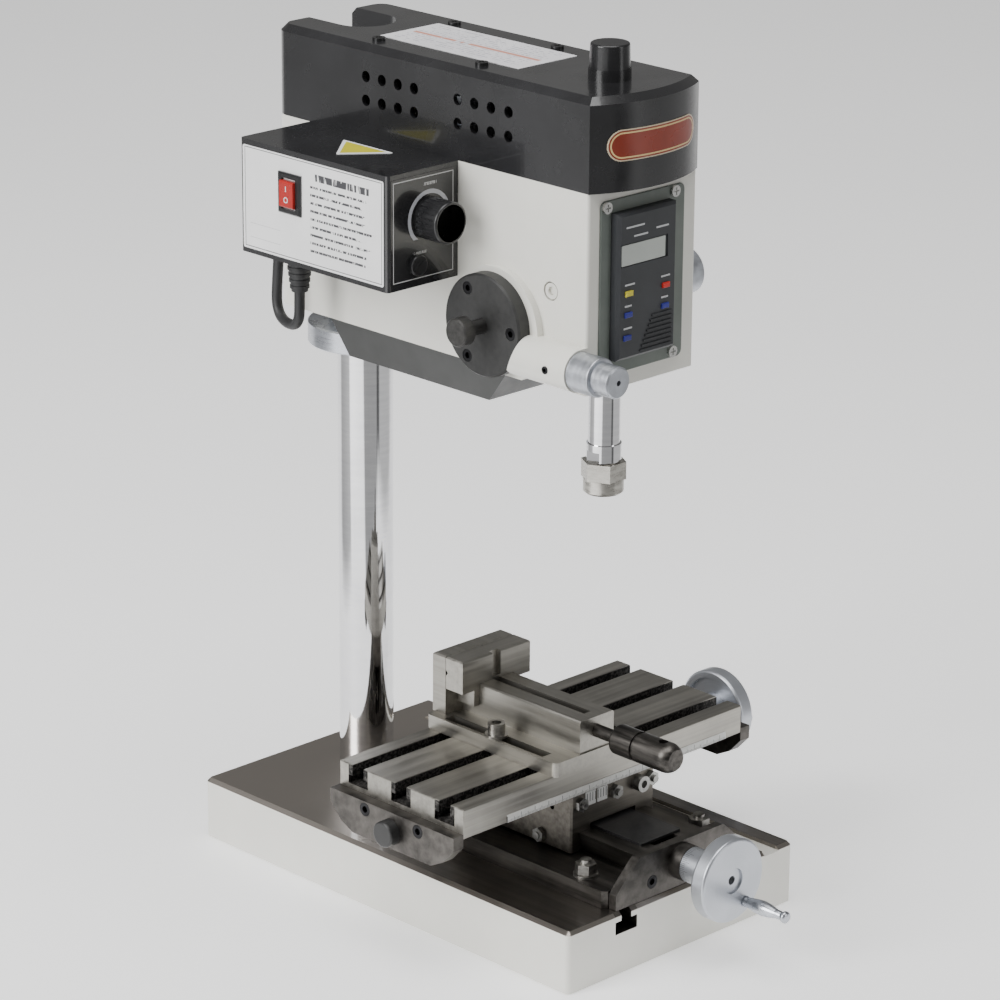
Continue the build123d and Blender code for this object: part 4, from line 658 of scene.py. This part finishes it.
class MILL_OT_scales(bpy.types.Operator):
    """Engraved scale strip on the table and index marks on the saddle"""

    bl_idname = "mill.scales"
    bl_label = "Scales"

    def execute(self, context):
        tall = context.scene.mill_scale.strip_height
        low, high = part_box("table")
        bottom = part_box("saddle")[1].z + 0.0003
        skin = machined("scale_strip", (0.74, 0.74, 0.72), (0.6, 0.6, 0.58), 0.35, (300, 300, 300), 0.00001, 0.2)
        x, y, z = skin.axes()
        run = skin.calc("ADD", skin.calc("MULTIPLY", x, 1000.0), 200.0)
        rise = skin.calc("SUBTRACT", z, bottom)
        fine = skin.both(tick(skin, run, 1.0, 0.24), skin.calc("LESS_THAN", rise, 0.0014))
        five = skin.both(tick(skin, run, 0.2, 0.06), skin.calc("LESS_THAN", rise, 0.0021))
        ten = skin.both(tick(skin, run, 0.1, 0.03), skin.calc("LESS_THAN", rise, 0.0034))
        skin.over(skin.either(fine, skin.either(five, ten)), (0.02, 0.02, 0.02), 0.6, 0.0)
        finish = skin.settle()
        finished(
            "table_scale",
            slab((-0.080, low.y - 0.0003, bottom), (0.085, low.y, bottom + tall), 0.0003, 2, 1),
            finish,
            "table_slide",
            False,
        )
        skin = machined("index_plate", (0.78, 0.78, 0.77), (0.66, 0.66, 0.65), 0.35, (300, 300, 300), 0.00001, 0.2)
        x, y, z = skin.axes()
        marks = skin.both(tick(skin, skin.calc("MULTIPLY", x, 1000.0), 0.5, 0.22), skin.inside(z, 0.0716, 0.0765))
        skin.over(marks, (0.03, 0.03, 0.03), 0.6, 0.0)
        finish = skin.settle()
        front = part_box("saddle")[0].y
        for number, (left, right) in enumerate(((-0.0212, -0.0135), (-0.0122, -0.0048))):
            finished(
                f"index_plate_{number + 1}",
                slab((left, front - 0.0004, 0.0695), (right, front, 0.0772), 0.0004, 2, 1),
                finish,
                "saddle_slide",
                False,
            )
        return {"FINISHED"}


class MILL_OT_gauge(bpy.types.Operator):
    """Gauge window, its grip ribs, and plain bars for the key names"""

    bl_idname = "mill.gauge"
    bl_label = "Depth gauge"

    def execute(self, context):
        low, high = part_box("gauge_body")
        skin = coated("display_grey", (0.52, 0.55, 0.52), (0.46, 0.49, 0.46), 0.12, 0.3, 0.00001)
        finished(
            "display_window",
            slab((-0.0214, low.y + 0.0002, 0.3660), (0.0100, low.y + 0.0006, 0.3766), 0.0004, 2, 1),
            skin.settle(),
            "head",
            False,
        )
        rib_skin = coated("grip_ribs", (0.035, 0.037, 0.04), (0.02, 0.021, 0.023), 0.5, 0.0, 0.00003).settle()
        for number in range(8):
            rise = 0.3193 + number * 0.0024
            left = -0.0078 + number * 0.0012
            mesh = slab((left, low.y - 0.0007, rise), (0.0155, low.y + 0.0002, rise + 0.0012), 0.0004, 2, 1)
            finished(f"grip_rib_{number + 1}", mesh, rib_skin, "head", False)
        mark_skin = coated("gauge_marks", (0.62, 0.63, 0.64), (0.55, 0.56, 0.57), 0.5, 0.0, 0.00001).settle()
        marks = [
            (-0.0189, 0.3555, 0.007), (0.0071, 0.3552, 0.0065), (-0.0189, 0.3445, 0.005), (0.0074, 0.3442, 0.005),
            (-0.0194, 0.3330, 0.006), (-0.0185, 0.3850, 0.013), (-0.0130, 0.3800, 0.010), (0.0030, 0.3815, 0.009),
        ]
        for number, (left, rise, wide) in enumerate(marks):
            mesh = slab((left, low.y - 0.0001, rise), (left + wide, low.y + 0.0001, rise + 0.0009), 0.0002, 1, 1)
            finished(f"key_mark_{number + 1}", mesh, mark_skin, "head", False)
        return {"FINISHED"}


class MILL_OT_knob_face(bpy.types.Operator):
    """Bright-rimmed disc on the end of the speed knob"""

    bl_idname = "mill.knob_face"
    bl_label = "Speed knob"

    def execute(self, context):
        low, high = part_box("speed_knob")
        skin = coated("knob_black", (0.018, 0.018, 0.019), (0.01, 0.01, 0.011), 0.24, 0.3, 0.00003)
        put_on("speed_knob", skin.settle())
        centre = ((low.x + high.x) / 2, low.y, (low.z + high.z) / 2)
        profile = [(0, 0.0), (0.0097, 0.0), (0.0102, -0.0001), (0.0104, -0.0006), (0.0102, -0.0010)]
        skin = machined("knob_disc", (0.14, 0.14, 0.13), (0.1, 0.1, 0.095), 0.42, (300, 300, 300), 0.00001, 0.2)
        turn, reach = round_axis(skin, (centre[0], centre[2]), "Y")
        skin.over(skin.calc("GREATER_THAN", reach, 0.0096), (0.8, 0.8, 0.8), 0.15, 1.0)
        x, y, z = skin.axes()
        pointer = skin.both(skin.inside(reach, 0.0068, 0.0094), skin.inside(turn, 0.118, 0.132))
        skin.over(pointer, (0.8, 0.8, 0.8), 0.3, 0.4)
        finished("knob_disc", turned(profile, centre, (0, -1, 0)), skin.settle(), "speed_dial")
        return {"FINISHED"}


class MILL_OT_rocker_marks(bpy.types.Operator):
    """Plain bar and ring on the two ends of the rocker"""

    bl_idname = "mill.rocker_marks"
    bl_label = "Rocker marks"

    def execute(self, context):
        low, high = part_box("rocker")
        ink = coated("rocker_white", (0.75, 0.72, 0.72), (0.66, 0.63, 0.63), 0.4, 0.1, 0.00001).settle()
        middle = (low.y + high.y) / 2
        bar_low = (low.x - 0.0001, middle - 0.0003, high.z - 0.0055)
        bar_high = (low.x + 0.0001, middle + 0.0003, high.z - 0.0025)
        bar = slab(bar_low, bar_high, 0.0002, 2, 0)
        finished("rocker_bar", bar, ink, "power_rocker", False)
        profile = [(0.0011, -0.0001), (0.0011, 0.0001), (0.0016, 0.0001), (0.0016, -0.0001), (0.0011, -0.0001)]
        ring = turned(profile, (low.x, middle, low.z + 0.0042), (-1, 0, 0))
        finished("rocker_ring", ring, ink, "power_rocker")
        return {"FINISHED"}


LEAD_ROUTE = [
    (-0.0600, 0.0870, 0.3470),
    (-0.0600, 0.0870, 0.3190),
    (-0.0612, 0.0864, 0.2990),
    (-0.0554, 0.1112, 0.3000),
    (-0.0544, 0.1106, 0.3265),
    (-0.0538, 0.1080, 0.3530),
    (-0.0355, 0.1080, 0.3530),
]


class MILL_OT_lead(bpy.types.Operator):
    """The lead that hangs in a short loop from the box's gland and goes into the head"""

    bl_idname = "mill.lead"
    bl_label = "Lead"

    def execute(self, context):
        line = bpy.data.curves.new("motor_lead_line", "CURVE")
        line.dimensions = "3D"
        line.bevel_depth = 0.00285
        line.bevel_resolution = 6
        line.use_fill_caps = True
        line.resolution_u = 16
        spline = line.splines.new("NURBS")
        spline.points.add(len(LEAD_ROUTE) - 1)
        for point, place in zip(spline.points, LEAD_ROUTE):
            point.co = (*place, 1.0)
        spline.order_u = 3
        spline.use_endpoint_u = True
        skin = coated("lead_rubber", (0.028, 0.028, 0.029), (0.018, 0.018, 0.019), 0.48, 0.0, 0.00006)
        line.materials.append(skin.settle())
        piece = bpy.data.objects.new("lead", line)
        context.scene.collection.objects.link(piece)
        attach(piece, "head")
        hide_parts("motor_lead")
        return {"FINISHED"}


class MILL_OT_stage(bpy.types.Operator):
    """Pale floor, soft studio light and the camera"""

    bl_idname = "mill.stage"
    bl_label = "Stage"

    def execute(self, context):
        sizes = context.scene.mill_stage
        scene = context.scene
        mesh = bmesh.new()
        bmesh.ops.create_grid(mesh, x_segments=2, y_segments=2, size=sizes.floor_size / 2)
        data = bpy.data.meshes.new("floor")
        mesh.to_mesh(data)
        mesh.free()
        skin = Surface("pale_floor")
        x, y, z = skin.axes()
        turn = round_axis(skin, (0.0, 0.0), "Z")[0]
        near = skin.calc("MULTIPLY", skin.calc("ADD", x, y), -0.7071)
        side = skin.calc("MULTIPLY", skin.calc("ABSOLUTE", skin.calc("SUBTRACT", x, y)), 0.7071)
        far = skin.either(skin.contrast(near, 0.26, 0.36), skin.contrast(side, 0.40, 0.52))
        bands = skin.tree.nodes.new("ShaderNodeValToRGB")
        skin.tree.links.new(turn, bands.inputs["Fac"])
        stops = bands.color_ramp.elements
        # painted light: the floor glows by its own colour, and away from the machine it is painted in dark and bright
        # bands that stand in for studio flags and lights for the chrome to reflect
        levels = [
            (0.0, 1.0), (0.085, 1.0), (0.10, 0.2), (0.255, 0.22), (0.272, 0.03), (0.29, 0.03), (0.31, 0.34),
            (0.46, 0.42), (0.52, 0.9), (0.77, 0.9), (0.80, 0.26), (0.915, 0.3), (0.93, 1.0), (1.0, 1.0),
        ]
        while len(stops) > 1:
            stops.remove(stops[-1])
        for number, (spot, level) in enumerate(levels):
            stop = stops[0] if number == 0 else stops.new(spot)
            stop.position = spot
            stop.color = (level, level, level, 1.0)
        cloud = skin.mix(skin.noise((3, 3, 3), 3), (0.9, 0.9, 0.9), (0.93, 0.93, 0.93))
        skin.colour = skin.mix(far, cloud, bands.outputs["Color"])
        skin.tree.links.new(skin.colour, skin.shader.inputs["Emission Color"])
        skin.shader.inputs["Emission Strength"].default_value = sizes.glow
        skin.rough = 0.7
        skin.metal = 0.0
        data.materials.append(skin.settle())
        floor = bpy.data.objects.new("floor", data)
        scene.collection.objects.link(floor)
        floor.location.z = -0.0005

        world = bpy.data.worlds.new("studio")
        world.use_nodes = True
        sky = world.node_tree.nodes["Background"]
        sky.inputs["Color"].default_value = (1.0, 0.99, 0.97, 1.0)
        sky.inputs["Strength"].default_value = 0.22
        scene.world = world

        def lamp(name, place, target, size, power):
            light = bpy.data.lights.new(name, "AREA")
            light.shape = "RECTANGLE"
            light.size, light.size_y = size
            light.energy = power
            piece = bpy.data.objects.new(name, light)
            piece.location = place
            piece.rotation_mode = "QUATERNION"
            piece.rotation_quaternion = (Vector(target) - Vector(place)).to_track_quat("-Z", "Y")
            scene.collection.objects.link(piece)

        lamp("key_left", (-2.2, 0.5, 1.3), (0, 0, 0.25), (1.2, 1.6), 62)
        lamp("top_soft", (-0.2, -0.2, 2.2), (0, 0, 0.2), (1.6, 1.6), 40)
        lamp("front_fill", (0.9, -2.4, 0.7), (0, 0, 0.25), (0.7, 1.4), 9)

        camera = bpy.data.cameras.new("camera")
        camera.lens = sizes.lens
        camera.sensor_width = 36.0
        camera.clip_start = 0.05
        camera.clip_end = 60.0
        piece = bpy.data.objects.new("camera", camera)
        back = Vector((-0.6637, -0.6729, 0.3267)).normalized()
        level = Vector((-back.y, back.x, 0)).normalized()
        above = back.cross(level)
        roll = math.radians(0.412)
        right = level * math.cos(roll) + above * math.sin(roll)
        up = above * math.cos(roll) - level * math.sin(roll)
        turn = Matrix((right, up, back)).transposed()
        piece.matrix_world = Matrix.Translation((-1.47248, -1.49582, 0.93691)) @ turn.to_4x4()
        scene.collection.objects.link(piece)
        scene.camera = piece
        return {"FINISHED"}


class MILL_PT_panel(bpy.types.Panel):
    """Lists the mill's steps in the 3D view's sidebar"""

    bl_idname = "MILL_PT_panel"
    bl_label = "Milling machine"
    bl_space_type = "VIEW_3D"
    bl_region_type = "UI"
    bl_category = "Mill"

    def draw(self, context):
        for operator in OPERATORS:
            self.layout.operator(operator.bl_idname)


SETTINGS = {
    "mill_finish": MillFinishSettings,
    "mill_plate": MillPlateSettings,
    "mill_scale": MillScaleSettings,
    "mill_stage": MillStageSettings,
}
OPERATORS = [
    MILL_OT_stage,
    MILL_OT_lead,
    MILL_OT_finishes,
    MILL_OT_dials,
    MILL_OT_handles,
    MILL_OT_plates,
    MILL_OT_badge,
    MILL_OT_scales,
    MILL_OT_gauge,
    MILL_OT_knob_face,
    MILL_OT_rocker_marks,
]


def register():
    for group in SETTINGS.values():
        bpy.utils.register_class(group)
    for name, group in SETTINGS.items():
        setattr(bpy.types.Scene, name, PointerProperty(type=group))
    for operator in OPERATORS:
        bpy.utils.register_class(operator)
    bpy.utils.register_class(MILL_PT_panel)


def unregister():
    bpy.utils.unregister_class(MILL_PT_panel)
    for operator in reversed(OPERATORS):
        bpy.utils.unregister_class(operator)
    for name, group in SETTINGS.items():
        delattr(bpy.types.Scene, name)
        bpy.utils.unregister_class(group)


def main():
    register()
    for operator in OPERATORS:
        step = operator.bl_idname.split(".")[1]
        if getattr(bpy.ops.mill, step)() != {"FINISHED"}:
            raise RuntimeError(f"the step {step} did not finish")


if __name__ == "__main__":
    main()
